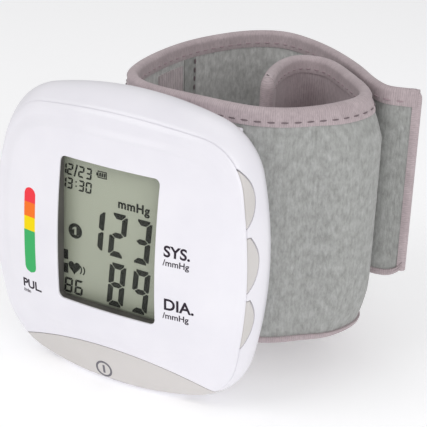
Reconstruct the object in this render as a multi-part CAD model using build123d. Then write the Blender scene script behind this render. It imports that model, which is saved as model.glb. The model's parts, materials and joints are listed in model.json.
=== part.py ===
from build123d import *
import os

# Wrist blood pressure monitor: a squarish plastic case with a cloth cuff on its back.
# It is laid out in millimetres from the middle of the display: +X to the display's right,
# +Y from the display's face back through the wrist, +Z up. save() then moves every piece so that
# the origin is the middle of the small flat that the case stands on.

# ---- case ----
WALL = 2.0
FACE_Z = -3.0               # height of the middle of the domed face
DOME_R = 160.0              # radius of the domed face
DOME_Y = -1.0               # foremost point of the dome
COVER_T = 1.1               # thickness of the front cover
CORNER_R = 17.0             # quick corner arcs of the outline
CORNER_INSET = 19.5         # from the outline's sides to the centres of the corner arcs
BACK_Y = 22.4               # flat back of the case
PAD_Y = 23.35               # raised pad that the cuff is riveted to
# depth, half width, top and bottom of the outline, from in front of the dome to the back
SECTIONS = [
    (-3.0, 36.4, 29.0, -38.0),
    (4.0, 38.6, 33.0, -42.3),
    (8.5, 39.7, 36.8, -44.1),
    (12.5, 40.2, 38.0, -44.5),
    (17.0, 38.9, 36.4, -42.8),
    (BACK_Y, 34.0, 31.5, -37.8),
]
REST_Z = -43.5              # the outline is cut flat here, to stand on
REST_Y = 11.6               # middle of that flat

# ---- display ----
VIEW_W = 30.0
VIEW_H = 40.0
VIEW_R = 1.6
GASKET_T = 0.6
RECESS_Y = 3.0              # back of the recess in front of the window
WINDOW_T = 1.0
LCD_Y = 4.4
LCD_T = 2.0
LCD_W = 33.0
LCD_H = 43.0

# ---- keys ----
KEY_TRAVEL = 0.5
KEY_GAP = 0.25
SWITCH_TIP = 33.4           # right end of the side keys' switches
KEY_TOP = 25.2              # top of the highest side key
KEY_LENGTH = 15.2
KEY_PITCH = 16.9
KEY_BACK = 9.0              # rear edge of the side keys
KEY_STEM = 9.5              # from a key's top down to its stem
POWER_R = 80.0              # upper edge of the power key, an arc
POWER_TOP = -31.5

# ---- board, pump and valve ----
BOARD_Y = 9.2
BOARD_T = 1.4
BOARD_BACK = BOARD_Y + BOARD_T
PUMP_Y = 14.4
PUMP_Z = 19.5
PUMP_X = -11.5              # left end of the motor
MOTOR_L = 15.0
HEAD_L = 15.5
SHAFT_R = 0.75
RUNNING = 0.06              # radial clearance of a running fit
MANIFOLD_X = 24.5
MANIFOLD_Y = 14.9
VALVE_Y = 15.0
VALVE_Z = -18.0

# ---- cells ----
CELL_R = 5.25               # AAA cell
CELL_L = 44.5
CELL_X = (-29.1, -18.3)
CELL_Y = 14.6
CELL_Z = -24.0              # lower end of the cells
BAY_TOP = 21.2
BAY_BOTTOM = -27.6
BAY_WALL_X = -31.0          # left end of the bay's two end walls, clear of the cover's path

# ---- screws ----
BOSSES = [(-24.0, 25.0), (24.0, 25.0), (-25.0, -31.5), (25.0, -31.5)]
BOSS_R = 2.9
POST_END = 7.0              # where the cover's posts meet the shell's
SCREW_TIP = 5.4
SCREW_SEAT = 12.0           # depth of the screw heads' seats
SCREW_HEAD_R = 1.9
SCREW_R = 0.95
RIVETS = [(5.0, 26.0), (18.0, 26.0), (5.0, -26.0), (18.0, -26.0)]

# ---- cuff ----
CUFF_TOP = 35.0
CUFF_BOTTOM = -31.6
TOP_HEM = 4.7               # height of the turned-over edges
BOTTOM_HEM = 2.0
HINGE_GAP = 2.0             # length of bare fold at each place the cloth bends
TAIL_BOTTOM = -20.0
TAIL_X = 57.2
# middle line of the cloth, from its curled inner end, past the case, round the wrist to the tail
CLOTH_LINE = [
    (19.5, 47.5), (16.2, 57.0), (14.6, 66.0), (16.8, 74.0), (23.2, 75.2), (30.2, 71.0),
    (37.5, 64.3), (43.6, 57.3), (45.5, 50.0), (43.6, 42.5), (39.8, 35.2), (34.2, 29.2),
    (27.0, 25.8), (20.0, 25.05), (8.0, 25.05), (0.0, 25.3), (-7.5, 27.2), (-13.0, 31.8),
    (-16.0, 40.0), (-17.2, 53.0), (-15.8, 68.0), (-12.0, 79.2), (-6.5, 88.0), (1.5, 92.6),
    (9.0, 91.3), (19.3, 86.2), (28.0, 79.8), (35.0, 73.6), (40.3, 68.2), (44.8, 64.4),
    (48.5, 62.7), (52.5, 63.5), (TAIL_X, 64.6),
]
SCROLL_FOLD = (45.2, 53.0)
STRAP_FOLD = (-13.9, 33.6)
TAIL_FOLD = (42.6, 66.2)

FAR = 200.0
FRONT_VIEW = Plane(origin=(0, 0, 0), x_dir=(1, 0, 0), z_dir=(0, -1, 0))


def save(name, shape):
    """Write one node, moved so that the origin is the middle of the resting flat."""
    moved = Pos(0, -REST_Y, -REST_Z) * shape
    export_step(moved, os.path.join("parts", name + ".step"))


def block(x0, x1, y0, y1, z0, z1):
    """A box between two corners."""
    size = Box(x1 - x0, y1 - y0, z1 - z0)
    return Pos((x0 + x1) / 2, (y0 + y1) / 2, (z0 + z1) / 2) * size


def rod_y(x, z, y0, y1, radius):
    """A round bar along Y."""
    return Pos(x, (y0 + y1) / 2, z) * Rot(90, 0, 0) * Cylinder(radius, y1 - y0)


def rod_x(y, z, x0, x1, radius):
    """A round bar along X."""
    return Pos((x0 + x1) / 2, y, z) * Rot(0, 90, 0) * Cylinder(radius, x1 - x0)


def rod_z(x, y, z0, z1, radius):
    """A round bar along Z."""
    return Pos(x, y, (z0 + z1) / 2) * Cylinder(radius, z1 - z0)


def group(shapes):
    """Several separate solids as one node."""
    return Compound([solid for shape in shapes for solid in shape.solids()])


def slab_y(face, y0, y1):
    """A face drawn in front view, given thickness from y0 back to y1."""
    return Pos(0, y1, 0) * extrude(FRONT_VIEW * face, y1 - y0)


def outline(half_w, half_h, inset):
    """Four slow side arcs joined by four quick corner arcs, all tangent."""
    reach = CORNER_INSET - inset
    radius = CORNER_R - inset
    half_w -= inset
    half_h -= inset
    centre = Vector(half_w - reach, half_h - reach)
    side_r = (reach**2 + centre.Y**2 - radius**2) / (2 * (reach - radius))
    cap_r = (reach**2 + centre.X**2 - radius**2) / (2 * (reach - radius))
    to_side = (centre - Vector(half_w - side_r, 0)).normalized()
    to_cap = (centre - Vector(0, half_h - cap_r)).normalized()
    side = centre + to_side * radius
    corner = centre + (to_side + to_cap).normalized() * radius
    cap = centre + to_cap * radius
    edges = []
    for sx, sz in ((1, 1), (-1, 1), (-1, -1), (1, -1)):
        ends = [(side.X * sx, side.Y * sz), (cap.X * sx, cap.Y * sz)]
        edges.append(ThreePointArc(ends[0], (corner.X * sx, corner.Y * sz), ends[1]))
    for sx in (1, -1):
        edges.append(ThreePointArc((side.X * sx, side.Y), (half_w * sx, 0), (side.X * sx, -side.Y)))
    for sz in (1, -1):
        edges.append(ThreePointArc((cap.X, cap.Y * sz), (0, half_h * sz), (-cap.X, cap.Y * sz)))
    return make_face(Wire.combine(edges)[0])


def body(inset):
    """The whole case as a solid, shrunk by inset at its sides, with its resting flat."""
    faces = []
    for y, half_w, top, bottom in SECTIONS:
        plane = Plane(origin=(0, y, (top + bottom) / 2), x_dir=(1, 0, 0), z_dir=(0, -1, 0))
        faces.append(plane * outline(half_w, (top - bottom) / 2, inset))
    return loft(faces) - block(-FAR, FAR, -FAR, FAR, -FAR, REST_Z + inset)


def behind(depth):
    """Everything behind the domed face, moved back by depth."""
    return Pos(0, DOME_Y + DOME_R + depth, FACE_Z) * Sphere(DOME_R)


def power_zone(radius):
    """The bottom of the case under the power key's arc."""
    return rod_y(0, POWER_TOP - POWER_R, -20, 20, radius)


def view_block(grow, y0, y1):
    """The display opening, grown by a margin, between two depths."""
    face = RectangleRounded(VIEW_W + 2 * grow, VIEW_H + 2 * grow, VIEW_R + grow)
    return slab_y(face, y0, y1)


def key_profile(top, grow):
    """Side view of one side key: straight front and top, and a rear edge that tapers down."""
    y0 = 1.2 - grow
    y1 = KEY_BACK + grow
    z1 = top + grow
    z0 = top - KEY_LENGTH - grow
    path = [
        Line((y0, z0), (y0, z1)),
        Line((y0, z1), (y1 - 3.0, z1)),
        Spline((y1 - 3.0, z1), (y1, z1 - 6.0), (y1 - 1.6, z0 + 3.2), (4.2, z0), tangents=[(1, 0), (-1, -0.3)]),
        Line((4.2, z0), (y0, z0)),
    ]
    return make_face(Wire.combine(path)[0])


def key_block(top, grow, x0, x1):
    """One side key's outline as a bar along X."""
    side_view = Plane(origin=(x0, 0, 0), x_dir=(0, 1, 0), z_dir=(1, 0, 0))
    return extrude(side_view * key_profile(top, grow), x1 - x0)


def key_tops():
    """Tops of the three side keys, highest first."""
    return [KEY_TOP - KEY_PITCH * n for n in range(3)]


def front_cover(case, inner):
    """Domed front with the display opening, a rim behind it and four screw posts."""
    cover = (case & behind(0)) - behind(COVER_T)
    rim = view_block(GASKET_T + 1.2, 0.5, RECESS_Y) & behind(0.3)
    posts = [rod_y(x, z, 0.0, POST_END, BOSS_R) for x, z in BOSSES]
    cover = cover + rim + [post & behind(0.5) & inner for post in posts]
    cover = cover - view_block(GASKET_T, -5, RECESS_Y + 1)
    cover = cover - view_block(GASKET_T + 1.15, RECESS_Y, 9)
    cover = cover - power_zone(POWER_R)
    for x, z in BOSSES:
        cover = cover - rod_y(x, z, SCREW_TIP - 0.2, POST_END + 1, SCREW_R + 0.05)
    return cover


def rear_shell(case, inner):
    """Back half of the case, with key slots, battery bay walls, screw posts and the cuff pad."""
    shell = (case & behind(COVER_T)) - (inner & block(-FAR, FAR, -FAR, BACK_Y - WALL, -FAR, FAR))
    shell = shell - (power_zone(POWER_R + 0.05) - behind(4.4))
    for top in key_tops():
        shell = shell - key_block(top, KEY_GAP, 30, 60)
    pad = block(-3, 26, BACK_Y - 0.5, PAD_Y, CUFF_BOTTOM + 2.6, CUFF_TOP - TOP_HEM - 0.6)
    ribs = [
        block(BAY_WALL_X, -12.2, BOARD_Y + 0.2, BACK_Y - WALL + 0.2, BAY_TOP, BAY_TOP + 0.8),
        block(BAY_WALL_X, -12.2, BOARD_Y + 0.2, BACK_Y - WALL + 0.2, BAY_BOTTOM - 0.8, BAY_BOTTOM),
        block(-12.9, -12.2, BOARD_Y + 0.2, BACK_Y - WALL + 0.2, BAY_BOTTOM, BAY_TOP),
    ]
    shell = shell + fillet(pad.edges().filter_by(Axis.Y), 3)
    shell = shell + ribs
    shell = shell - ((case - inner) & block(-60, -30, 7.3, 19.7, BAY_BOTTOM + 0.6, BAY_TOP + 2.4))
    for x, z in BOSSES:
        shell = shell + (rod_y(x, z, POST_END + 0.1, BACK_Y - 0.5, BOSS_R) & case)
    for x, z in BOSSES:
        shell = shell - rod_y(x, z, POST_END, BACK_Y + 1, SCREW_R + 0.05)
        shell = shell - rod_y(x, z, SCREW_SEAT, BACK_Y + 1, SCREW_HEAD_R + 0.2)
    for x, z in RIVETS:
        shell = shell - rod_y(x, z, BACK_Y - WALL - 1, PAD_Y + 1, 1.05)
    return shell - rod_y(MANIFOLD_X, 12.0, BACK_Y - WALL - 1, PAD_Y + 1, 2.1)


def power_key(case, inner):
    """Lens-shaped key that wraps the lower lip of the case, with a lip behind the cover."""
    zone = power_zone(POWER_R - KEY_GAP)
    cap = ((case & behind(0)) - behind(COVER_T + 1.1)) & zone
    skirt = (((case - inner) & behind(0)) - behind(3.5)) & zone
    lip = ((inner & behind(COVER_T + 0.3)) - behind(COVER_T + 1.1)) & power_zone(POWER_R + 0.8)
    lip = lip & block(-20, 20, -FAR, FAR, -FAR, FAR)
    stem = block(-1.4, 1.4, 3.0, 6.3, -36.4, -33.6)
    return cap + skirt + lip + stem


def side_key(case, wall_back, flange_back, top):
    """Flush key in the right flank, with a flange inside the wall and a stem to its switch."""
    cap = (case - wall_back) & key_block(top, 0, 30, 60) & behind(COVER_T + KEY_GAP)
    flange = (wall_back - flange_back) & key_block(top, 0.7, 30, 60) & behind(COVER_T + 0.5)
    middle = top - KEY_STEM
    reach = SWITCH_TIP + KEY_TRAVEL + 0.2
    stem = block(reach, 40, 6.0, 8.0, middle - 1.2, middle + 1.2) & wall_back
    return cap + flange + stem - block(0, reach, -FAR, FAR, middle - 2.8, middle + 2.8)


def key_switches():
    """Three side-push switches and one front-push switch on the board."""
    switches = []
    for top in key_tops():
        middle = top - KEY_STEM
        base = block(29.2, SWITCH_TIP - 0.6, 5.8, BOARD_Y, middle - 2.4, middle + 2.4)
        tip = block(SWITCH_TIP - 0.7, SWITCH_TIP, 6.3, 7.7, middle - 0.9, middle + 0.9)
        switches.append(base + tip)
    base = block(-2.5, 2.5, 7.4, BOARD_Y, -36.6, -32.0)
    switches.append(base + rod_y(0, -35.0, 7.1, 7.5, 1.2))
    return group(switches)


def display_gasket():
    """Dark lining of the display recess."""
    return (view_block(GASKET_T, -5, RECESS_Y) - view_block(0, -6, RECESS_Y + 1)) & behind(0.25)


def display_window():
    """Clear window glued behind the recess."""
    return view_block(GASKET_T + 1.0, RECESS_Y + 0.05, RECESS_Y + WINDOW_T)


def lcd_panel():
    """Two glass panes of the display, the rear one longer at the contacts."""
    front = slab_y(Rectangle(LCD_W, LCD_H - 2), LCD_Y, LCD_Y + LCD_T / 2)
    rear = slab_y(Rectangle(LCD_W, LCD_H), LCD_Y + LCD_T / 2, LCD_Y + LCD_T)
    return front + rear


def lcd_holder():
    """Tray that holds the display off the board, with a slot for the contact strip."""
    tray = block(-17.6, 17.6, LCD_Y + 0.4, BOARD_Y - 0.1, -22.7, 22.7)
    tray = tray - block(-16.6, 16.6, LCD_Y, LCD_Y + LCD_T + 0.05, -21.6, 21.6)
    tray = tray - block(-15.2, 15.2, LCD_Y, BOARD_Y + 1, -16.5, 19.5)
    return tray - block(-11.3, 11.3, LCD_Y, BOARD_Y + 1, -20.8, -18.2)


def contact_strip():
    """Springy conductive strip between display and board."""
    return block(-11.0, 11.0, LCD_Y + LCD_T, BOARD_Y, -20.5, -18.5)


def main_board():
    """Circuit board beside the cells, with a tongue behind the power key."""
    board = block(-12.0, 31.0, BOARD_Y, BOARD_BACK, -27.5, 12.0)
    tongue = block(-9.0, 9.0, BOARD_Y, BOARD_BACK, -38.0, -27.0)
    ear = block(22.5, 31.0, BOARD_Y, BOARD_BACK, 11.0, 19.5)
    return board + tongue + ear


def controller_chip():
    """Square flat controller with its pin rows."""
    chip = block(-3.0, 7.0, BOARD_BACK, BOARD_BACK + 1.4, -7.0, 3.0)
    pins = block(-4.0, 8.0, BOARD_BACK, BOARD_BACK + 0.3, -6.4, 2.4)
    return chip + pins


def buzzer():
    """Round sounder with its central port."""
    drum = rod_y(6.0, -19.5, BOARD_BACK, BOARD_BACK + 3.2, 4.5)
    return drum - rod_y(6.0, -19.5, BOARD_BACK + 2.2, BOARD_BACK + 4.0, 0.8)


def pressure_sensor():
    """Sensor on the board, with a port up to the air block."""
    base = block(MANIFOLD_X - 3.5, MANIFOLD_X + 3.5, BOARD_BACK, BOARD_BACK + 3.4, -3.5, 3.5)
    return base + rod_z(MANIFOLD_X, BOARD_BACK + 2.0, 3.4, 6.0, 1.2)


def pump_motor():
    """Flat-sided motor can with room for its rotor."""
    end = PUMP_X + MOTOR_L
    can = rod_x(PUMP_Y, PUMP_Z, PUMP_X, end, 6.0) & block(-99, 99, PUMP_Y - 5, PUMP_Y + 5, -99, 99)
    can = can - rod_x(PUMP_Y, PUMP_Z, PUMP_X + 2.0, end - 2.0, 4.4)
    return can - rod_x(PUMP_Y, PUMP_Z, PUMP_X + 0.8, end + 1, SHAFT_R + RUNNING)


def pump_rotor():
    """Rotor, shaft and the crank that drives the diaphragm block."""
    end = PUMP_X + MOTOR_L
    rotor = rod_x(PUMP_Y, PUMP_Z, PUMP_X + 2.6, end - 2.6, 3.8)
    shaft = rod_x(PUMP_Y, PUMP_Z, PUMP_X + 1.0, end + 1.6, SHAFT_R)
    crank = rod_x(PUMP_Y, PUMP_Z, end + 1.2, end + 3.2, 2.8)
    pin = rod_x(PUMP_Y, PUMP_Z + 1.8, end + 3.0, end + 4.6, 0.5)
    return rotor + shaft + crank + pin


def pump_head():
    """Square pump head with the crank chamber and the outlet nipple."""
    start = PUMP_X + MOTOR_L + 0.05
    end = start + HEAD_L
    head = block(start, end, PUMP_Y - 5, PUMP_Y + 5, PUMP_Z - 6, PUMP_Z + 6)
    head = fillet(head.edges().filter_by(Axis.X), 1.5)
    head = head - rod_x(PUMP_Y, PUMP_Z, start - 1, start + 6.0, 3.6)
    nipple = rod_x(PUMP_Y, PUMP_Z, end - 0.5, end + 1.4, 1.2)
    return head + nipple


def pump_sleeve():
    """Short silicone sleeve from the pump's nipple to the air block."""
    start = PUMP_X + MOTOR_L + 0.05 + HEAD_L
    return rod_x(PUMP_Y, PUMP_Z, start, 22.0, 2.0) - rod_x(PUMP_Y, PUMP_Z, start - 1, 23.0, 1.2)


def air_block():
    """Moulded block that joins pump, sensor, valve and the port into the cuff."""
    half = 2.6
    core = block(22.0, 27.2, MANIFOLD_Y - half, MANIFOLD_Y + half, 6.0, 21.8)
    core = fillet(core.edges().filter_by(Axis.Z), 1.0)
    core = core - rod_z(MANIFOLD_X, MANIFOLD_Y, 8.0, 20.5, 1.0)
    port = rod_y(MANIFOLD_X, 12.0, MANIFOLD_Y + half - 0.4, 26.0, 1.9)
    port = port - rod_y(MANIFOLD_X, 12.0, MANIFOLD_Y, 27.0, 1.0)
    return core + port - rod_y(MANIFOLD_X, 12.0, MANIFOLD_Y, 20.0, 1.0)


def valve_tube():
    """Silicone tube from the air block down to the release valve."""
    tube = rod_z(MANIFOLD_X, MANIFOLD_Y + 1.3, VALVE_Z + 7.2, 6.0, 1.3)
    return tube - rod_z(MANIFOLD_X, MANIFOLD_Y + 1.3, VALVE_Z + 7.0, 7.0, 0.7)


def valve_body():
    """Coil housing of the release valve, with the plunger's bore and an air seat on top."""
    side = 4.2
    coil = block(MANIFOLD_X - side, MANIFOLD_X + side, VALVE_Y - side, VALVE_Y + side, VALVE_Z - 6, VALVE_Z + 7.2)
    coil = fillet(coil.edges().filter_by(Axis.Z), 1.2)
    coil = coil - rod_z(MANIFOLD_X, VALVE_Y, VALVE_Z - 4.0, VALVE_Z + 5.6, 1.6 + RUNNING)
    return coil - rod_z(MANIFOLD_X, MANIFOLD_Y + 1.3, VALVE_Z + 5.0, VALVE_Z + 8, 0.6)


def valve_plunger():
    """Steel plunger, narrow at its foot where the spring sits."""
    head = rod_z(MANIFOLD_X, VALVE_Y, VALVE_Z - 0.4, VALVE_Z + 4.9, 1.6)
    return head + rod_z(MANIFOLD_X, VALVE_Y, VALVE_Z - 3.0, VALVE_Z, 0.8)


def coil_spring(x, y, z0, z1, radius, wire, turns):
    """A plain round-wire compression spring along Z."""
    height = z1 - z0 - 2 * wire
    path = Helix(pitch=height / turns, height=height, radius=radius)
    section = Plane(origin=path @ 0, z_dir=path % 0) * Circle(wire)
    return Pos(x, y, z0 + wire) * sweep(section, path=path, is_frenet=True)


def battery_cells():
    """Two AAA cells with their caps."""
    cells = []
    for n, x in enumerate(CELL_X):
        can = rod_z(x, CELL_Y, CELL_Z, CELL_Z + CELL_L - 1.0, CELL_R)
        can = fillet(can.edges(), 0.5)
        cells.append(can + rod_z(x, CELL_Y, CELL_Z + CELL_L - 1.2, CELL_Z + CELL_L, 1.9))
    return group(cells)


def battery_contacts():
    """Bridge plate over the cells' caps and a plate under each spring."""
    top = block(-33.0, -14.0, 11.0, 18.0, CELL_Z + CELL_L + 0.02, CELL_Z + CELL_L + 0.5)
    plates = [top]
    for x in CELL_X:
        plates.append(block(x - 3.6, x + 3.6, 10.6, 17.4, BAY_BOTTOM + 0.02, BAY_BOTTOM + 0.4))
    return group(plates)


def battery_springs():
    """Contact springs under the two cells."""
    z0 = BAY_BOTTOM + 0.42
    return group([coil_spring(x, CELL_Y, z0, CELL_Z - 0.02, 2.6, 0.3, 3) for x in CELL_X])


def battery_cover(case, inner):
    """Cover of the battery bay: the left flank of the case, with finger grooves."""
    zone = block(-60, -30.3, 7.6, 19.4, BAY_BOTTOM + 0.9, BAY_TOP + 2.1)
    cover = (case - inner) & zone
    for n in range(4):
        cover = cover - rod_z(-41.0, 10.2 + 2.2 * n, -8.0, 6.0, 0.9)
    return cover


def housing_screws():
    """Four screws from the back of the case into the front cover's posts."""
    screws = []
    for x, z in BOSSES:
        head = rod_y(x, z, SCREW_SEAT + 0.05, SCREW_SEAT + 1.4, SCREW_HEAD_R)
        head = head - rod_y(x, z, SCREW_SEAT + 0.9, SCREW_SEAT + 2, 0.7)
        screws.append(head + rod_y(x, z, SCREW_TIP, SCREW_SEAT + 0.1, SCREW_R))
    return group(screws)


CLOTH = Spline(*CLOTH_LINE)


def place(point):
    """How far along the cloth a point lies, from 0 to 1."""
    samples = 2000
    return min(range(samples + 1), key=lambda n: (CLOTH @ (n / samples) - Vector(*point)).length) / samples


def cloth_band(start, stop, inner, outer, bottom, top):
    """Upright band of cloth between two places, from one face to the other."""
    count = max(4, round((stop - start) * CLOTH.length / 5))
    near = []
    far = []
    for n in range(count + 1):
        at = start + (stop - start) * n / count
        spot = CLOTH @ at
        along = CLOTH % at
        out = Vector(-along.Y, along.X).normalized()
        near.append(spot + out * inner)
        far.append(spot + out * outer)
    edges = [Spline(*near), Spline(*far), Line(near[0], far[0]), Line(near[-1], far[-1])]
    return Pos(0, 0, bottom) * extrude(make_face(Wire.combine(edges)[0]), top - bottom)


def stretch(first, second):
    """Start and end of a run of cloth between two folds, clear of both."""
    margin = HINGE_GAP / 2 / CLOTH.length
    return first + margin, second - margin


def hole_through(shape, spots, radius):
    """Clearance holes for what passes from the case into the cuff."""
    for x, z in spots:
        shape = shape - rod_y(x, z, 15, 27, radius)
    return shape


def front_cuff():
    """The run of cuff behind the case: cloth, stiffener, air bag, lining and edges."""
    start, stop = stretch(place(SCROLL_FOLD), place(STRAP_FOLD))
    low = CUFF_BOTTOM + BOTTOM_HEM
    high = CUFF_TOP - TOP_HEM
    cloth = cloth_band(start, stop, 0.6, 1.6, low, high)
    stiffener = cloth_band(start, stop, -0.2, 0.55, low + 3, high - 3)
    cloth = hole_through(cloth, RIVETS, 1.1)
    cloth = hole_through(cloth, [(MANIFOLD_X, 12.0)], 2.0)
    stiffener = hole_through(stiffener, RIVETS, 1.1)
    stiffener = hole_through(stiffener, [(MANIFOLD_X, 12.0)], 2.0)
    air_bag = cloth_band(start, stop, -1.1, -0.65, low + 4, high - 4)
    air_bag = air_bag - rod_y(MANIFOLD_X, 12.0, 15, 26.05, 2.0)
    lining = cloth_band(start, stop, -1.6, -1.15, low, high)
    save("cuff_front_cloth", cloth)
    save("cuff_stiffener", stiffener)
    save("cuff_air_bag", air_bag)
    save("cuff_front_lining", lining)
    save("cuff_front_top_edge", cloth_band(start, stop, -1.8, 1.8, high + 0.02, CUFF_TOP))
    save("cuff_front_bottom_edge", cloth_band(start, stop, -1.8, 1.8, CUFF_BOTTOM, low - 0.02))


def cuff_rivets():
    """Four rivets that clench the cuff's stiffener to the case."""
    rivets = []
    for x, z in RIVETS:
        shank = rod_y(x, z, 19.7, 25.4, 0.95)
        inside = rod_y(x, z, 19.6, BACK_Y - WALL - 0.05, 1.7)
        outside = rod_y(x, z, 25.37, 25.6, 2.2)
        rivets.append(shank + inside + outside)
    return group(rivets)


def curl():
    """The sprung inner end of the cuff, curled in a scroll."""
    start, stop = stretch(-HINGE_GAP / 2 / CLOTH.length, place(SCROLL_FOLD))
    low = CUFF_BOTTOM + BOTTOM_HEM
    high = CUFF_TOP - TOP_HEM
    save("cuff_curl_cloth", cloth_band(start, stop, 0.4, 1.4, low, high))
    save("cuff_curl_stiffener", cloth_band(start, stop, -0.5, 0.3, low + 3, high - 3))
    save("cuff_curl_lining", cloth_band(start, stop, -1.4, -0.6, low, high))
    save("cuff_curl_top_edge", cloth_band(start, stop, -1.6, 1.6, high + 0.02, CUFF_TOP))
    save("cuff_curl_bottom_edge", cloth_band(start, stop, -1.6, 1.6, CUFF_BOTTOM, low - 0.02))


def above_taper(rise):
    """Everything above the tapering lower edge of the strap and tail, raised by rise."""
    points = [
        (-60, CUFF_BOTTOM + rise), (2, CUFF_BOTTOM + rise), (44, TAIL_BOTTOM + rise),
        (TAIL_X - rise, TAIL_BOTTOM + rise), (TAIL_X - rise, 60), (-60, 60),
    ]
    corners = [8, 8, 6, 2, 2, 2]
    edge = FilletPolyline(*points, radius=corners, close=True)
    return slab_y(make_face(edge), 20, 120)


def strap():
    """The run of cuff that goes round the wrist, with its hook patch."""
    start, stop = stretch(place(STRAP_FOLD), place(TAIL_FOLD))
    high = CUFF_TOP - TOP_HEM
    body_zone = above_taper(BOTTOM_HEM)
    save("cuff_strap_cloth", cloth_band(start, stop, 0.1, 1.3, CUFF_BOTTOM, high) & body_zone)
    save("cuff_strap_lining", cloth_band(start, stop, -1.3, 0.05, CUFF_BOTTOM, high) & body_zone)
    save("cuff_strap_top_edge", cloth_band(start, stop, -1.5, 1.5, high + 0.02, CUFF_TOP))
    lower = cloth_band(start, stop, -1.5, 1.5, CUFF_BOTTOM, high) & above_taper(0)
    save("cuff_strap_bottom_edge", lower - above_taper(BOTTOM_HEM - 0.02))
    hooks = cloth_band(place((-17.2, 52.0)), place((-15.8, 68.0)), -1.95, -1.35, -26, 27)
    save("hook_patch", hooks)
    seam = cloth_band(place((-15.2, 70.5)), place((-13.2, 76.0)), -1.75, -1.35, -27, high)
    save("lining_seam", seam)


def tail():
    """Free end of the cuff, narrower and round at its lower corner."""
    start, stop = stretch(place(TAIL_FOLD), 1 + HINGE_GAP / 2 / CLOTH.length)
    high = CUFF_TOP - TOP_HEM
    cloth = cloth_band(start, stop, -1.2, 1.2, CUFF_BOTTOM, high) & above_taper(BOTTOM_HEM)
    save("cuff_tail_cloth", cloth)
    save("cuff_tail_top_edge", cloth_band(start, stop, -1.4, 1.4, high + 0.02, CUFF_TOP))
    lower = cloth_band(start, stop, -1.4, 1.4, CUFF_BOTTOM, high) & above_taper(0)
    save("cuff_tail_bottom_edge", lower - above_taper(BOTTOM_HEM - 0.02))


def main():
    os.makedirs("parts", exist_ok=True)
    case = body(0)
    inner = body(WALL)
    wall_back = body(WALL + 0.3)
    flange_back = body(WALL + 1.1)
    save("front_cover", front_cover(case, inner))
    save("rear_shell", rear_shell(case, inner))
    save("display_gasket", display_gasket())
    save("display_window", display_window())
    save("lcd_panel", lcd_panel())
    save("lcd_holder", lcd_holder())
    save("contact_strip", contact_strip())
    save("power_key", power_key(case, inner))
    for name, top in zip(("upper", "middle", "lower"), key_tops()):
        save(name + "_side_key", side_key(case, wall_back, flange_back, top))
    save("key_switches", key_switches())
    save("main_board", main_board())
    save("controller_chip", controller_chip())
    save("buzzer", buzzer())
    save("pressure_sensor", pressure_sensor())
    save("pump_motor", pump_motor())
    save("pump_rotor", pump_rotor())
    save("pump_head", pump_head())
    save("pump_sleeve", pump_sleeve())
    save("air_block", air_block())
    save("valve_tube", valve_tube())
    save("valve_body", valve_body())
    save("valve_plunger", valve_plunger())
    save("valve_spring", coil_spring(MANIFOLD_X, VALVE_Y, VALVE_Z - 3.98, VALVE_Z - 0.42, 1.15, 0.18, 5))
    save("battery_cells", battery_cells())
    save("battery_contacts", battery_contacts())
    save("battery_springs", battery_springs())
    save("battery_cover", battery_cover(case, inner))
    save("housing_screws", housing_screws())
    save("cuff_rivets", cuff_rivets())
    front_cuff()
    curl()
    strap()
    tail()


if __name__ == "__main__":
    main()
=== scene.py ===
"""The looks of a wrist blood pressure monitor: its moulded case, display, keys and curled cloth cuff.

It is laid out as an add-on with one operator for each piece or group of like pieces, and is run as a script.
Sizes are in millimetres from the middle of the display's front: +X to the right, +Y back, +Z up.
"""

import json
import math

import bmesh
import bpy
import numpy as np
from bpy.props import FloatProperty, FloatVectorProperty, PointerProperty
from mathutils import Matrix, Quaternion, Vector


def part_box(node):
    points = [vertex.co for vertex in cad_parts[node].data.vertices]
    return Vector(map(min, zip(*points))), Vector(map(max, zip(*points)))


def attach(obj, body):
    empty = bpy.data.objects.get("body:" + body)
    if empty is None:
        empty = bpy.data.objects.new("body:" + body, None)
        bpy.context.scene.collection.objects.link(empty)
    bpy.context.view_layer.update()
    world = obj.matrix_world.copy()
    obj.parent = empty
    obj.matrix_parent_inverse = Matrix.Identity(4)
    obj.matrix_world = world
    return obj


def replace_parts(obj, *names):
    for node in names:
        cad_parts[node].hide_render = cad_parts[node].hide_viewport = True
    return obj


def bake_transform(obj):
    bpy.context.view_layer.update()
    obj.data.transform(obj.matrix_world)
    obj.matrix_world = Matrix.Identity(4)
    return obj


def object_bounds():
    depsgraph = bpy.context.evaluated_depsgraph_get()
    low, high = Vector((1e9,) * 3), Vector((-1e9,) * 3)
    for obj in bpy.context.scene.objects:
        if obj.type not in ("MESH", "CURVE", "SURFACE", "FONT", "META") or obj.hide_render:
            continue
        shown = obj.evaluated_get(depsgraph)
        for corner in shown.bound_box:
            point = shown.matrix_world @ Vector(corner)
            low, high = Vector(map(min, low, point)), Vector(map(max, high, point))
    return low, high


bl_info = {
    "name": "Wrist Monitor",
    "version": (1, 0, 0),
    "blender": (4, 5, 0),
    "location": "View3D > Sidebar > Wrist Monitor",
    "description": "Builds a wrist blood pressure monitor around its packed frame",
    "category": "Object",
}

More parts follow.
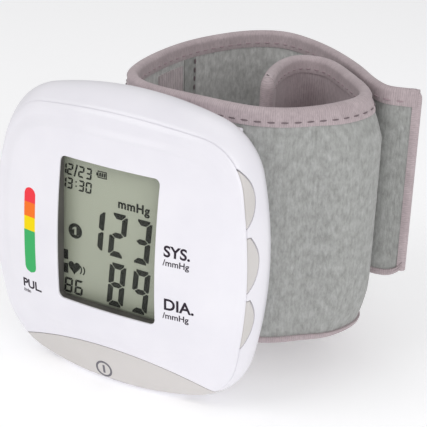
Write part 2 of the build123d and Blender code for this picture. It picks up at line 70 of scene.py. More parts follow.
MM = 0.001
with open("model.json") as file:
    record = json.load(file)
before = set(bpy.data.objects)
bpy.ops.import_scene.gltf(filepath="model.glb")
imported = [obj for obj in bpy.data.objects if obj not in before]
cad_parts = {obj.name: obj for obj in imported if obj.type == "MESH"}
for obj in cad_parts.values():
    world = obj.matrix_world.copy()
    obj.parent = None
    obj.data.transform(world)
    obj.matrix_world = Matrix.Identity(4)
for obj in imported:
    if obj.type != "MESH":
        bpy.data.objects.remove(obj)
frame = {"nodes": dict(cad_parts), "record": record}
CAD_BOX = [list(corner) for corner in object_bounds()]
WINDOW_LOW, WINDOW_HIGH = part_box("display_window")
WINDOW_DEPTH = 3.05         # from the display's front plane back to the window
ORIGIN = Vector((
    (WINDOW_LOW.x + WINDOW_HIGH.x) / 2,
    WINDOW_LOW.y - WINDOW_DEPTH * MM,
    (WINDOW_LOW.z + WINDOW_HIGH.z) / 2,
))

# ---- case ----
WALL = 2.0
DOME_R = 160.0
DOME_Y = -1.0
FACE_Z = -3.0
CORNER_R = 17.0
CORNER_REACH = 19.5
BACK_Y = 22.4
REST_Z = -43.5
# depth, half width, top and bottom of the case's outline
SECTIONS = np.array([
    (-3.0, 36.4, 29.0, -38.0),
    (4.0, 38.6, 33.0, -42.3),
    (8.5, 39.7, 36.8, -44.1),
    (12.5, 40.2, 38.0, -44.5),
    (17.0, 38.9, 36.4, -42.8),
    (BACK_Y, 34.0, 31.5, -37.8),
])
SEAM = 1.1                  # depth of the front cover's rim behind its domed face
SEAM_GAP = 0.18
PER_ARC = 20                # points along each side and each corner of an outline
FACE_ROWS = 34              # rings from the display opening out to the edge of the face
VIEW_HALF = (15.0, 20.0)    # the display opening
VIEW_R = 1.6
LINING_T = 0.6
RECESS_Y = 3.0
LIP_T = 0.5                 # thickness of the cover's lip over the lining
POWER_R = 80.0
POWER_TOP = -31.5
RIGHT_SIDE = (25.0, 60.0)   # from X to X, clear of the case on its outer side
LEFT_SIDE = (-60.0, -30.0)
KEY_TOP = 25.2
KEY_LENGTH = 15.2
KEY_PITCH = 16.9
KEY_BACK = 9.0
PRINT_Y = 4.32              # the segments lie just in front of the display glass

# ---- cuff ----
CUFF_TOP = 35.0
CLOTH_TOP = 33.0            # the cloth ends inside the top tape
CUFF_BOTTOM = -31.6
TAIL_BOTTOM = -20.0
TAIL_X = 57.2
TOP_TAPE = 4.7
BOTTOM_TAPE = 2.2
STITCH_Z = 31.6
PITCH = 3.2                 # from one stitch to the next
UPRIGHT_PITCH = 2.6
CLOTH_STEP = 1.2
# middle line of the cloth, from its curled inner end, past the case, round the wrist to the tail
CLOTH_LINE = np.array([
    (19.5, 47.5), (16.2, 57.0), (14.6, 66.0), (16.8, 74.0), (23.2, 75.2), (30.2, 71.0),
    (37.5, 64.3), (43.6, 57.3), (45.5, 50.0), (43.6, 42.5), (39.8, 35.2), (34.2, 29.2),
    (27.0, 25.8), (20.0, 25.05), (8.0, 25.05), (0.0, 25.3), (-7.5, 27.2), (-13.0, 31.8),
    (-16.0, 40.0), (-17.2, 53.0), (-15.8, 68.0), (-12.0, 79.2), (-6.5, 88.0), (1.5, 92.6),
    (9.0, 91.3), (19.3, 86.2), (28.0, 79.8), (35.0, 73.6), (40.3, 68.2), (44.8, 64.4),
    (48.5, 62.7), (52.5, 63.5), (TAIL_X, 64.6),
])


def at(x, y, z):
    """A place in millimetres from the display's middle, as a point of the frame in metres."""
    return ORIGIN + Vector((x, y, z)) * MM


def smooth_step(share):
    """0 below 0, 1 above 1, and an even S curve between."""
    share = np.clip(share, 0, 1)
    return share * share * (3 - 2 * share)


def curve_through(knots, values, places):
    """The natural cubic curve through all the values, read at some places."""
    gaps = np.diff(knots)
    count = len(knots)
    system = np.eye(count)
    bends = np.zeros((count,) + values.shape[1:])
    for n in range(1, count - 1):
        system[n, n - 1:n + 2] = gaps[n - 1], 2 * (gaps[n - 1] + gaps[n]), gaps[n]
        bends[n] = 6 * ((values[n + 1] - values[n]) / gaps[n] - (values[n] - values[n - 1]) / gaps[n - 1])
    bends = np.linalg.solve(system, bends)
    span = np.clip(np.searchsorted(knots, places) - 1, 0, count - 2)
    gap = gaps[span][:, None]
    after = (places - knots[span])[:, None]
    before = (knots[span + 1] - places)[:, None]
    ends = (values[span] / gap - bends[span] * gap / 6) * before
    ends = ends + (values[span + 1] / gap - bends[span + 1] * gap / 6) * after
    return ends + (bends[span] * before**3 + bends[span + 1] * after**3) / (6 * gap)


# ---- mesh helpers ----

def set_mode(mode):
    """Enters edit or object mode."""
    bpy.ops.object.mode_set(mode=mode)


def pick(piece):
    """Makes one piece the only selected and active one."""
    bpy.ops.object.select_all(action="DESELECT")
    piece.select_set(True)
    bpy.context.view_layer.objects.active = piece


def primitive(kind, **sizes):
    """A primitive of Blender's own, placed as its operator says."""
    getattr(bpy.ops.mesh, f"primitive_{kind}_add")(**sizes)
    return apply_place(bpy.context.object)


def apply_place(piece):
    """Puts a piece's object at the origin, unturned and unscaled."""
    pick(piece)
    bpy.ops.object.transform_apply(location=True, rotation=True, scale=True)
    return piece


def clean(piece, merge=0.005):
    """Merges what meets in a piece and turns its faces outwards."""
    pick(piece)
    set_mode("EDIT")
    bpy.ops.mesh.select_all(action="SELECT")
    bpy.ops.mesh.remove_doubles(threshold=merge * MM)
    bpy.ops.mesh.normals_make_consistent(inside=False)
    set_mode("OBJECT")
    return piece


def shade(piece, degrees):
    """Smooth shading except across sharp edges."""
    pick(piece)
    bpy.ops.object.shade_smooth_by_angle(angle=math.radians(degrees))
    return piece


def finish_modifier(piece, kind, **settings):
    """Adds one modifier and applies it."""
    pick(piece)
    made = piece.modifiers.new(kind.title(), kind)
    for name, value in settings.items():
        setattr(made, name, value)
    bpy.ops.object.modifier_apply(modifier=made.name)
    return piece


def cut(piece, cutter, operation="DIFFERENCE"):
    """Cuts, joins or trims a piece with another, which is then thrown away."""
    finish_modifier(piece, "BOOLEAN", object=cutter, operation=operation, solver="EXACT")
    bpy.data.objects.remove(cutter)
    return piece


def soften(piece, width, degrees):
    """Rounds a piece's sharp edges by a small width in millimetres."""
    clean(piece)
    return finish_modifier(
        piece, "BEVEL", width=width * MM, segments=2, limit_method="ANGLE", angle_limit=math.radians(degrees)
    )


def ring_grid(name, rings, close=False, merge=0.005):
    """A grid primitive whose rows are laid on rings of points, joined round each ring."""
    rings = np.asarray(rings, float)
    if close:
        rings = np.concatenate([rings, rings[:1]])
    piece = primitive("grid", x_subdivisions=rings.shape[1], y_subdivisions=rings.shape[0] - 1, size=1)
    piece.name = name
    wrapped = np.concatenate([rings, rings[:, :1]], axis=1).reshape(-1, 3)
    places = wrapped * MM + np.array(ORIGIN)
    piece.data.vertices.foreach_set("co", places.astype(np.float32).ravel())
    piece.data.update()
    return clean(piece, merge)


def plain_mesh(name, points, faces):
    """A mesh from points in millimetres and the faces between them."""
    mesh = bpy.data.meshes.new(name)
    mesh.from_pydata([tuple(at(*point)) for point in points], [], faces)
    piece = bpy.data.objects.new(name, mesh)
    bpy.context.scene.collection.objects.link(piece)
    mesh.update()
    return piece


def tube_faces(rows, sides, base=0):
    """The faces of a tube of rings of points, closed with a flat face at each end."""
    faces = []
    for near in range(base, base + (rows - 1) * sides, sides):
        for m in range(sides):
            after = (m + 1) % sides
            faces.append((near + m, near + after, near + sides + after, near + sides + m))
    last = base + (rows - 1) * sides
    return faces + [tuple(range(base + sides - 1, base - 1, -1)), tuple(range(last, last + sides))]


def prism(name, outline, span, along_x=False):
    """A closed prism along Y from (x, z) points, or along X from (y, z) points."""
    points = [(end, a, b) if along_x else (a, end, b) for end in span for a, b in outline]
    return clean(plain_mesh(name, points, tube_faces(2, len(outline))))


def turn_faces(piece, to_front=False):
    """Turns the faces of a closed piece outwards, or those of a flat one to the front."""
    fix = bmesh.new()
    fix.from_mesh(piece.data)
    if to_front:
        bmesh.ops.reverse_faces(fix, faces=[face for face in fix.faces if face.normal.y > 0])
    else:
        bmesh.ops.recalc_face_normals(fix, faces=fix.faces)
    fix.to_mesh(piece.data)
    fix.free()
    return piece


def fit(piece, slot, degrees, body, node):
    """Finishes a hard piece, which stands in for a node of the frame, and fixes it to its body."""
    shade(dress(piece, slot), degrees)
    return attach(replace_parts(piece, node), body)


# ---- shape of the case ----

def outline(half_w, half_h, reach, radius):
    """Four slow side arcs and four quick corner arcs, all tangent, as (x, z) points anticlockwise."""
    centre = np.array((half_w - reach, half_h - reach))
    side_r = (reach**2 + centre[1]**2 - radius**2) / (2 * (reach - radius))
    cap_r = (reach**2 + centre[0]**2 - radius**2) / (2 * (reach - radius))
    lean = math.atan2(centre[1], centre[0] - (half_w - side_r))
    tilt = math.atan2(centre[1] - (half_h - cap_r), centre[0])
    steps = np.arange(PER_ARC) / PER_ARC

    def arc(x, z, size, first, last):
        angles = first + (last - first) * steps
        return np.stack([x + size * np.cos(angles), z + size * np.sin(angles)], 1)

    upper = np.concatenate([
        arc(half_w - side_r, 0, side_r, -lean, lean),
        arc(*centre, radius, lean, tilt),
        arc(0, half_h - cap_r, cap_r, tilt, math.pi - tilt),
        arc(-centre[0], centre[1], radius, math.pi - tilt, math.pi - lean),
    ])
    return np.concatenate([upper, -upper])


COLUMNS = 8 * PER_ARC
DEPTHS = np.linspace(SECTIONS[0, 0], BACK_Y, 120)
PROFILE = curve_through(SECTIONS[:, 0], SECTIONS[:, 1:], DEPTHS)


def case_rings(inset):
    """The case's outline at every depth, shrunk by an inset."""
    rings = []
    for half_w, top, bottom in PROFILE:
        ring = outline(half_w - inset, (top - bottom) / 2 - inset, CORNER_REACH - inset, CORNER_R - inset)
        ring[:, 1] = np.maximum(ring[:, 1] + (top + bottom) / 2, REST_Z + inset)
        rings.append(ring)
    return np.array(rings)


def side_ring(rings, depth):
    """Where each column of the case's side is at its own depth, as (x, y, z) points."""
    depth = np.broadcast_to(depth, (COLUMNS,))
    x = [np.interp(depth[n], DEPTHS, rings[:, n, 0]) for n in range(COLUMNS)]
    z = [np.interp(depth[n], DEPTHS, rings[:, n, 1]) for n in range(COLUMNS)]
    return np.stack([x, depth, z], 1)


def dome(x, z):
    """Depth of the plain domed face."""
    return DOME_Y + DOME_R - np.sqrt(DOME_R**2 - x**2 - (z - FACE_Z)**2)


def face_depth(x, z, step):
    """Depth of the face, whose soft-edged middle stands proud of its border by a small step."""
    reach = ((np.abs(x) / 33.6)**4.4 + (np.abs(z + 0.6) / 28.6)**4.4)**(1 / 4.4)
    return dome(x, z) + step * smooth_step((reach - 0.955) / 0.11)


def edge_depth(rings, behind):
    """Depth at which each column of the side meets the domed face moved back."""
    depth = np.full(COLUMNS, 4.0)
    for _ in range(12):
        ring = side_ring(rings, depth)
        depth = dome(ring[:, 0], ring[:, 2]) + behind
    return depth


OUTER = case_rings(0)
INNER = case_rings(WALL)
THIN = case_rings(0.4)
RIM = edge_depth(OUTER, SEAM)


def view_ring(grow, depth):
    """The display opening's outline, grown by a margin."""
    ring = outline(VIEW_HALF[0] + grow, VIEW_HALF[1] + grow, VIEW_R + grow + 0.001, VIEW_R + grow)
    return np.stack([ring[:, 0], np.broadcast_to(depth, (COLUMNS,)), ring[:, 1]], 1)


def on_face(ring, step):
    """A ring moved in depth onto the face."""
    made = ring.copy()
    made[:, 1] = face_depth(ring[:, 0], ring[:, 2], step)
    return made


def bend(first, corner, last, count):
    """Rings that turn smoothly from one ring to another round a corner ring."""
    shares = [(n + 0.5) / count for n in range(count)]
    return [first * (1 - s)**2 + corner * 2 * s * (1 - s) + last * s * s for s in shares]


def case_nose(step):
    """Rings of the face from a ring round the display out to the edge, and round it to the seam."""
    corner = side_ring(OUTER, edge_depth(OUTER, 0.35))
    rim = side_ring(OUTER, RIM)
    start = view_ring(0.25, 0)
    inward = corner * np.array((0.955, 1, 0.955))
    rings = [on_face(start + (inward - start) * n / FACE_ROWS, step) for n in range(FACE_ROWS + 1)]
    return rings + bend(rings[-1], on_face(corner, step), rim, 6) + [rim]


def cover_rings(step):
    """Closed loop of rings for the front cover, round the display opening."""
    nose = case_nose(step)
    lip = view_ring(0.0, 0)
    under = dome(lip[:, 0], lip[:, 2]) + LIP_T
    opening = [view_ring(LINING_T, RECESS_Y), view_ring(LINING_T, under), view_ring(0.0, under)]
    opening.append(view_ring(0.0, under - LIP_T + 0.2))
    opening += bend(opening[-1], on_face(lip, step), nose[0], 4)
    inside = side_ring(case_rings(WALL / 2), RIM - 0.05)
    plate = view_ring(LINING_T + 1.2, dome(lip[:, 0], lip[:, 2]) + SEAM)
    back = []
    for n in range(8):
        ring = inside * np.array((0.97, 1, 0.97)) * (1 - n / 8) + plate * n / 8
        ring[:, 1] = dome(ring[:, 0], ring[:, 2]) + SEAM + 0.02
        back.append(ring)
    return opening + nose + [inside] + back + [plate, view_ring(LINING_T + 1.2, RECESS_Y)]


def shell_rings():
    """Rings of the rear shell: its side, its rounded back, and its inner wall."""
    front = RIM + SEAM_GAP
    rings = [side_ring(THIN, front), side_ring(OUTER, front + 0.25)]
    for share in np.linspace(0, 1, 27)[1:]:
        rings.append(side_ring(OUTER, front + 0.25 + (BACK_Y - 1.4 - front - 0.25) * share))
    corner = side_ring(OUTER, BACK_Y)
    flat = side_ring(case_rings(1.6), BACK_Y)
    rings += bend(rings[-1], corner, flat, 5) + [flat]
    middle = np.array((0, 0, -3.0))
    rings += [middle + (flat - middle) * np.array((s, 1, s)) for s in (0.7, 0.35, 0)]
    floor = side_ring(case_rings(WALL + 1.6), BACK_Y)
    floor[:, 1] = BACK_Y - WALL
    rings += [middle + (floor - middle) * np.array((s, 1, s)) for s in (0, 0.35, 0.7, 1)]
    for share in np.linspace(1, 0, 10):
        rings.append(side_ring(INNER, front + (BACK_Y - WALL - 1.0 - front) * share))
    return rings


# ---- materials ----

def linear(code):
    """An sRGB hex colour as linear RGBA."""
    parts = [int(code[n:n + 2], 16) / 255 for n in (1, 3, 5)]
    return [p / 12.92 if p <= 0.04045 else ((p + 0.055) / 1.055)**2.4 for p in parts] + [1.0]


def add_node(tree, kind, settings=None, inputs=None, links=None):
    """One node with its settings, its input values and what feeds it."""
    made = tree.nodes.new(kind)
    for name, value in (settings or {}).items():
        setattr(made, name, value)
    for name, value in (inputs or {}).items():
        made.inputs[name].default_value = value
    for name, socket in (links or {}).items():
        tree.links.new(socket, made.inputs[name])
    return made


def new_material(name, **values):
    """A material with the shader's own constants set. Returns it, its nodes, and its shader."""
    material = bpy.data.materials.new(name)
    material.use_nodes = True
    shader = material.node_tree.nodes["Principled BSDF"]
    for socket, value in values.items():
        shader.inputs[socket.replace("_", " ")].default_value = value
    return material, material.node_tree, shader


def mottle(tree, shader, source, size_mm, low, high, detail=3.0, stretch=(1, 1, 1)):
    """Colour that drifts between two hex values in patches of a real size."""
    turned = add_node(tree, "ShaderNodeMapping", inputs={"Scale": stretch}, links={"Vector": source})
    noise = add_node(
        tree, "ShaderNodeTexNoise", inputs={"Scale": 1 / (size_mm * MM), "Detail": detail},
        links={"Vector": turned.outputs["Vector"]},
    )
    ramp = add_node(tree, "ShaderNodeValToRGB", links={"Fac": noise.outputs["Fac"]})
    ramp.color_ramp.elements[0].position = 0.32
    ramp.color_ramp.elements[1].position = 0.68
    ramp.color_ramp.elements[0].color = linear(low)
    ramp.color_ramp.elements[1].color = linear(high)
    tree.links.new(ramp.outputs["Color"], shader.inputs["Base Color"])
    return ramp


def moulded(name, low, high, roughness, grain_mm, depth_mm, coat=0.0, metallic=0.0, patch_mm=18.0):
    """Moulded plastic or plated metal: nearly even colour with a fine grain in the gloss."""
    material, tree, shader = new_material(
        name, Roughness=roughness, Metallic=metallic, Coat_Weight=coat, Coat_Roughness=0.12, IOR=1.5
    )
    place = add_node(tree, "ShaderNodeTexCoord").outputs["Object"]
    mottle(tree, shader, place, patch_mm, low, high)
    grain = add_node(
        tree, "ShaderNodeTexNoise", inputs={"Scale": 1 / (grain_mm * MM), "Detail": 2.0}, links={"Vector": place}
    )
    bump = add_node(tree, "ShaderNodeBump", inputs={"Strength": 0.35, "Distance": depth_mm * MM},
                    links={"Height": grain.outputs["Fac"]})
    tree.links.new(bump.outputs["Normal"], shader.inputs["Normal"])
    return material


def woven(name, low, high, depth_mm, patch_mm, rib_mm=0.0, rib_share=0.2, roughness=0.92, sheen=0.15):
    """Cloth along its own UV map in metres: patches, fibres lying upright and, if given, upright ribs. Its colour is
    darkened in the hollows of the fibre and rib relief and lightened on its crests, as painted shade and painted light.
    """
    material, tree, shader = new_material(
        name, Roughness=roughness, Sheen_Weight=sheen, Sheen_Roughness=0.5, Specular_IOR_Level=0.25
    )
    place = add_node(tree, "ShaderNodeTexCoord").outputs["UV"]
    ramp = mottle(tree, shader, place, patch_mm, low, high, detail=6.0, stretch=(1, 0.6, 1))
    upright = add_node(tree, "ShaderNodeMapping", inputs={"Scale": (1, 0.3, 1)}, links={"Vector": place})
    fibres = add_node(
        tree, "ShaderNodeTexNoise", inputs={"Scale": 1 / (FIBRE_MM * MM), "Detail": 4.0, "Roughness": 0.7},
        links={"Vector": upright.outputs["Vector"]},
    )
    height = fibres.outputs["Fac"]
    if rib_mm:
        ribs = add_node(
            tree, "ShaderNodeTexWave", {"bands_direction": "X"},
            {"Scale": 2 * math.pi / 20 / (rib_mm * MM), "Distortion": 1.2, "Detail": 2.0, "Detail Scale": 2.0},
            {"Vector": place},
        )
        both = add_node(tree, "ShaderNodeMath", {"operation": "MULTIPLY_ADD"}, {1: rib_share},
                        {0: ribs.outputs["Fac"], 2: height})
        height = both.outputs["Value"]
    # painted shade and light: the relief's low parts darken the colour and its crests lighten it
    dark = add_node(tree, "ShaderNodeMapRange", None, {"From Min": 0.3, "From Max": 0.8, "To Min": 0.74, "To Max": 1.1},
                    {"Value": height})
    relief_shaded_colour = add_node(tree, "ShaderNodeVectorMath", {"operation": "SCALE"}, None,
                    {0: ramp.outputs["Color"], "Scale": dark.outputs["Result"]})
    tree.links.new(relief_shaded_colour.outputs["Vector"], shader.inputs["Base Color"])
    bump = add_node(tree, "ShaderNodeBump", None, {"Strength": 0.8, "Distance": depth_mm * MM}, {"Height": height})
    tree.links.new(bump.outputs["Normal"], shader.inputs["Normal"])
    return material


def ink(name, code):
    """Printed ink: flat, nearly matt colour."""
    return new_material(name, Roughness=0.6, Specular_IOR_Level=0.12, Base_Color=linear(code))[0]


MATERIALS = {}
FIBRE_MM = 0.5


def make_materials():
    """Every finish of the object, by its slot."""
    # name, two shades, roughness, size and depth of the grain in mm, then coat, metal and size of the patches in mm
    moulds = {
        # satin white with a breath of lavender and soft wide highlights
        "case_white": ("white_abs", "#E9E7EE", "#EFEDF3", 0.30, 0.9, 0.004, 0.25),
        # finer spark finish: warm light grey, no sharp highlight
        "key_grey": ("warm_grey_abs", "#D0CCC9", "#D6D2D0", 0.48, 0.4, 0.006),
        # grey walls that frame the display, darkened to the tone of a wall in shade: painted shade of the recess
        "gasket_dark": ("shaded_grey_polystyrene", "#4E4C49", "#5A5855", 0.55, 0.5, 0.005),
        # grey-green glass, with patches hardly to be seen
        "lcd_green": ("display_glass", "#A2A795", "#A9AE9B", 0.35, 0.3, 0.001, 0.0, 0.0, 25.0),
        # undyed, dull off-white
        "tray_plastic": ("natural_abs", "#C9C8C2", "#D2D1CC", 0.55, 0.6, 0.004),
        # black and matt
        "strip_rubber": ("carbon_silicone", "#19191B", "#222225", 0.75, 0.3, 0.005),
        # deep green lacquer with the weave just showing
        "board_green": ("solder_mask", "#0F4A2A", "#145A34", 0.35, 0.6, 0.006, 0.3),
        # near black with a fine dull grain
        "chip_black": ("moulded_epoxy", "#151517", "#1E1E20", 0.6, 0.25, 0.004),
        # bright warm metal with a clear highlight
        "steel": ("nickel_plate", "#B8B8B6", "#C6C6C4", 0.28, 0.35, 0.002, 0.0, 1.0),
        # cooler, duller metal
        "motor_steel": ("zinc_plate", "#9DA0A4", "#AEB1B5", 0.38, 0.35, 0.003, 0.0, 1.0),
        # smooth black, a little waxy
        "pump_plastic": ("black_acetal", "#222226", "#2B2B2F", 0.5, 0.4, 0.004),
        # smooth milky white
        "air_plastic": ("milky_acetal", "#DCDCD6", "#E5E5E0", 0.45, 0.5, 0.004),
        # pale cloudy rubber
        "silicone": ("clear_silicone", "#BFC4C1", "#CBD0CD", 0.4, 0.5, 0.003),
        # blue film with a gloss
        "cell_wrap": ("printed_shrink_wrap", "#2B4E7A", "#34598A", 0.3, 0.8, 0.002, 0.3),
        # dark grey skin, slightly wrinkled
        "air_bag": ("grey_polyurethane", "#4A4A4E", "#55555A", 0.5, 1.5, 0.02),
        # plain pale sheet
        "stiffener": ("polypropylene_sheet", "#C4C4BF", "#CECEC9", 0.45, 0.7, 0.004),
    }
    for slot, values in moulds.items():
        MATERIALS[slot] = moulded(*values)
    # clear acrylic: all but invisible straight on, with a soft gloss
    MATERIALS["window_clear"], tree, shader = new_material(
        "clear_acrylic", Roughness=0.06, IOR=1.49, Alpha=0.025, Base_Color=linear("#C4C6C2")
    )
    place = add_node(tree, "ShaderNodeTexCoord").outputs["Object"]
    haze = add_node(tree, "ShaderNodeTexNoise", None, {"Scale": 1 / (6 * MM)}, {"Vector": place})
    bump = add_node(tree, "ShaderNodeBump", None, {"Strength": 0.05, "Distance": 0.01 * MM},
                    {"Height": haze.outputs["Fac"]})
    tree.links.new(bump.outputs["Normal"], shader.inputs["Normal"])
    # name, two shades, depth and size of the patches in mm, rib in mm and its share, roughness and sheen
    cloths = {
        # light grey pile combed upright, mottled where it lies over
        "loop_cloth": ("brushed_loop", "#9E9F9C", "#B6B7B5", 0.25, 1.7, 1.1, 0.06),
        # paler and patchier, without ribs
        "lining_cloth": ("brushed_knit", "#B9B9B7", "#D9D9D7", 0.25, 1.7),
        # dull mauve-brown with a fine rib
        "curl_lining": ("smooth_knit", "#A99B9E", "#BAADB0", 0.10, 7.0, 0.9),
        # mauve-grey, finely ribbed across
        "edge_tape": ("grosgrain_tape", "#B1A3A6", "#BDAFB2", 0.07, 6.0, 0.55, 0.2, 0.8),
        # rough mauve-grey in deep upright rows
        "hook_tape": ("hook_tape", "#B0A4A7", "#C6BBBD", 0.35, 3.0, 1.2, 0.7, 0.7, 0.1),
        # dark and light mauve, with a slight sheen
        "thread": ("polyester_thread", "#6F6266", "#85777B", 0.03, 2.0, 0.0, 0.2, 0.6),
        "thread_pale": ("pale_thread", "#A08C92", "#BBA6AC", 0.03, 2.0, 0.0, 0.2, 0.6),
    }
    for slot, values in cloths.items():
        MATERIALS[slot] = woven(*values)
    inks = {
        # near black with a green cast
        "segments": ("liquid_crystal", "#1A1D15"),
        # soft black with a purple cast, and mid grey
        "text_ink": ("purple_black_ink", "#332B36"), "icon_ink": ("grey_ink", "#77757C"),
        # clear signal colours
        "bar_red": ("red_ink", "#F4404A"), "bar_orange": ("orange_ink", "#FA7A2A"),
        "bar_yellow": ("yellow_ink", "#F8DC08"), "bar_green": ("green_ink", "#43B36A"),
    }
    for slot, values in inks.items():
        MATERIALS[slot] = ink(*values)


def dress(piece, *names):
    """Gives a piece its finishes, in the order of its face indices."""
    piece.data.materials.clear()
    for name in names:
        piece.data.materials.append(MATERIALS[name])
    return piece


# ---- cloth ----

def measure_line():
    """The cloth's middle line at an even spacing: distance, place and outward side."""
    knots = np.concatenate([[0], np.cumsum(np.linalg.norm(np.diff(CLOTH_LINE, axis=0), axis=1))])
    places = curve_through(knots, CLOTH_LINE, np.linspace(0, knots[-1], 3000))
    run = np.concatenate([[0], np.cumsum(np.linalg.norm(np.diff(places, axis=0), axis=1))])
    along = np.gradient(places, run, axis=0)
    along /= np.linalg.norm(along, axis=1)[:, None]
    return run, places, np.stack([-along[:, 1], along[:, 0]], 1)


RUN, LINE, OUTWARD = measure_line()


def how_far(x, y):
    """Distance along the cloth of its place nearest a point."""
    return RUN[np.argmin(np.linalg.norm(LINE - np.array((x, y)), axis=1))]


def outward(run):
    """The cloth's outward side at some places, as (x, y)."""
    return np.stack([np.interp(run, RUN, OUTWARD[:, k]) for k in (0, 1)], -1)


def beside(run, offset):
    """Places a given offset outwards from the cloth's middle line, as (x, y)."""
    spot = np.stack([np.interp(run, RUN, LINE[:, n]) for n in (0, 1)], 1)
    side = outward(run)
    return spot + side / np.linalg.norm(side, axis=1)[:, None] * np.asarray(offset)[:, None]


BEND = how_far(45.2, 47.0)


def swell(run, height):
    """How much the cuff's right bend bellies out between its taped edges, in millimetres."""
    rise = (np.asarray(height) - CUFF_BOTTOM) / (CUFF_TOP - CUFF_BOTTOM)
    belly = smooth_step(rise / 0.4 + 0.45) * smooth_step((1.02 - rise) / 0.2)
    return 5.0 * belly * np.exp(-((np.asarray(run) - BEND) / 11.0)**4)


def low_edge(run):
    """Height of the cuff's lower edge, which rises along the back of the strap to the narrow tail."""
    x = beside(run, np.zeros(len(run)))[:, 0]
    past = smooth_step((run - how_far(1.5, 92.6)) / 4) * smooth_step(x / 44) ** 0.8
    tip = np.clip((run - RUN[-1] + 6.0) / 6.0, 0, 1)
    return CUFF_BOTTOM + (TAIL_BOTTOM - CUFF_BOTTOM) * past + 6.0 * (1 - np.sqrt(1 - tip**2))


def cloth_strip(name, start, stop, section):
    """A closed sleeve of cloth from one place on the line to another.

    section(run) gives its loop of (offset, height) points for every run, the same number each time.
    """
    count = max(3, round((stop - start) / CLOTH_STEP))
    run = np.linspace(start, stop, count + 1)
    rows = []
    for offset, height in section(run):
        spot = beside(run, offset + swell(run, height))
        rows.append(np.stack([spot[:, 0], spot[:, 1], height], 1))
    grid = np.stack(rows, 1)
    sides = len(rows)
    piece = plain_mesh(name, grid.reshape(-1, 3), tube_faces(count + 1, sides))
    layer = piece.data.uv_layers.new(name="cloth")
    steps = np.linalg.norm(np.diff(grid, axis=1), axis=2)
    drop = np.concatenate([np.zeros((len(run), 1)), np.cumsum(steps, axis=1)], 1)
    for face in piece.data.polygons:
        around = [piece.data.loops[k].vertex_index for k in face.loop_indices]
        wraps = max(v % sides for v in around) - min(v % sides for v in around) > 1
        for k, v in zip(face.loop_indices, around):
            row, column = divmod(v, sides)
            down = drop[row, -1] + 0.5 if wraps and column == 0 else drop[row, column]
            layer.data[k].uv = (run[row] * MM, down * MM)
    piece.data.validate()
    return shade(turn_faces(piece), 50)


def panel_section(outer, inner, low_of, high):
    """A flat panel with soft long edges."""
    shares = np.linspace(0, 1, 14)

    def section(run):
        low = low_of(run)
        return [
            (np.full(len(run), face * (1 - 0.25 * (2 * share - 1)**4)), low + (high - low) * share)
            for face, order in ((outer, shares), (inner, shares[::-1])) for share in order
        ]

    return section


def tape_section(thick, low_of, high_of):
    """A tape folded over an edge: two flat sides and a round fold on top or below."""
    def section(run):
        low, high = low_of(run), high_of(run)
        fold = np.sign(high - low)
        side = []
        for share in (0.0, 0.12, 0.5, 0.9):
            puff = thick * (0.84 + 0.16 * math.sin(math.pi * min(share * 1.1 + 0.1, 1)))
            side.append((np.full(len(run), puff), low + (high - fold * thick - low) * share))
        turn = [math.pi * n / 10 for n in range(1, 10)]
        top = [(np.full(len(run), thick * math.cos(a)), high - fold * thick * (1 - math.sin(a))) for a in turn]
        return side + top + [(-offset, height) for offset, height in side[::-1]]

    return section


def sewn(name, threads):
    """Short threads, each five rings of six points, as one mesh."""
    points, faces = [], []
    for thread in threads:
        faces += tube_faces(5, 6, len(points))
        points += thread
    piece = turn_faces(plain_mesh(name, points, faces))
    piece.data.uv_layers.new(name="cloth")
    return shade(piece, 80)


def stitches(name, start, stop, offset, height):
    """A row of short flattened stitches along the cloth at a height."""
    threads = []
    for n in range(max(1, int((stop - start) / PITCH))):
        run = start + PITCH * (n + 0.5) + 2.0 * (np.arange(5) / 4 - 0.5)
        line = beside(run, np.full(5, offset) + swell(run, np.full(5, height)))
        side = outward(run)
        thread = []
        ends, shoulders = (0.099, -0.16), (0.198, 0.02)
        for m, (size, sink) in enumerate((ends, shoulders, (0.22, 0.06), shoulders, ends)):
            for k in range(6):
                angle = math.pi * k / 3
                spot = line[m] + side[m] * (math.cos(angle) * size * 0.8 + math.copysign(sink, sink * offset))
                thread.append((spot[0], spot[1], height + math.sin(angle) * size))
        threads.append(thread)
    return sewn(name, threads)


def upright_stitches(name, run, offset, low, high):
    """A row of short stitches one above another."""
    spot = beside(np.array([run]), np.array([offset]))[0]
    out = outward(run)
    along = np.array([out[1], -out[0]])
    threads = []
    for n in range(int((high - low) / UPRIGHT_PITCH)):
        thread = []
        for m, size in enumerate((0.12, 0.3, 0.34, 0.3, 0.12)):
            for k in range(6):
                angle = math.pi * k / 3
                x, y = spot + along * size * math.cos(angle) + out * size * 0.7 * math.sin(angle)
                thread.append((x, y, low + UPRIGHT_PITCH * (n + 0.25) + 0.4 * m))
        threads.append(thread)
    return sewn(name, threads)


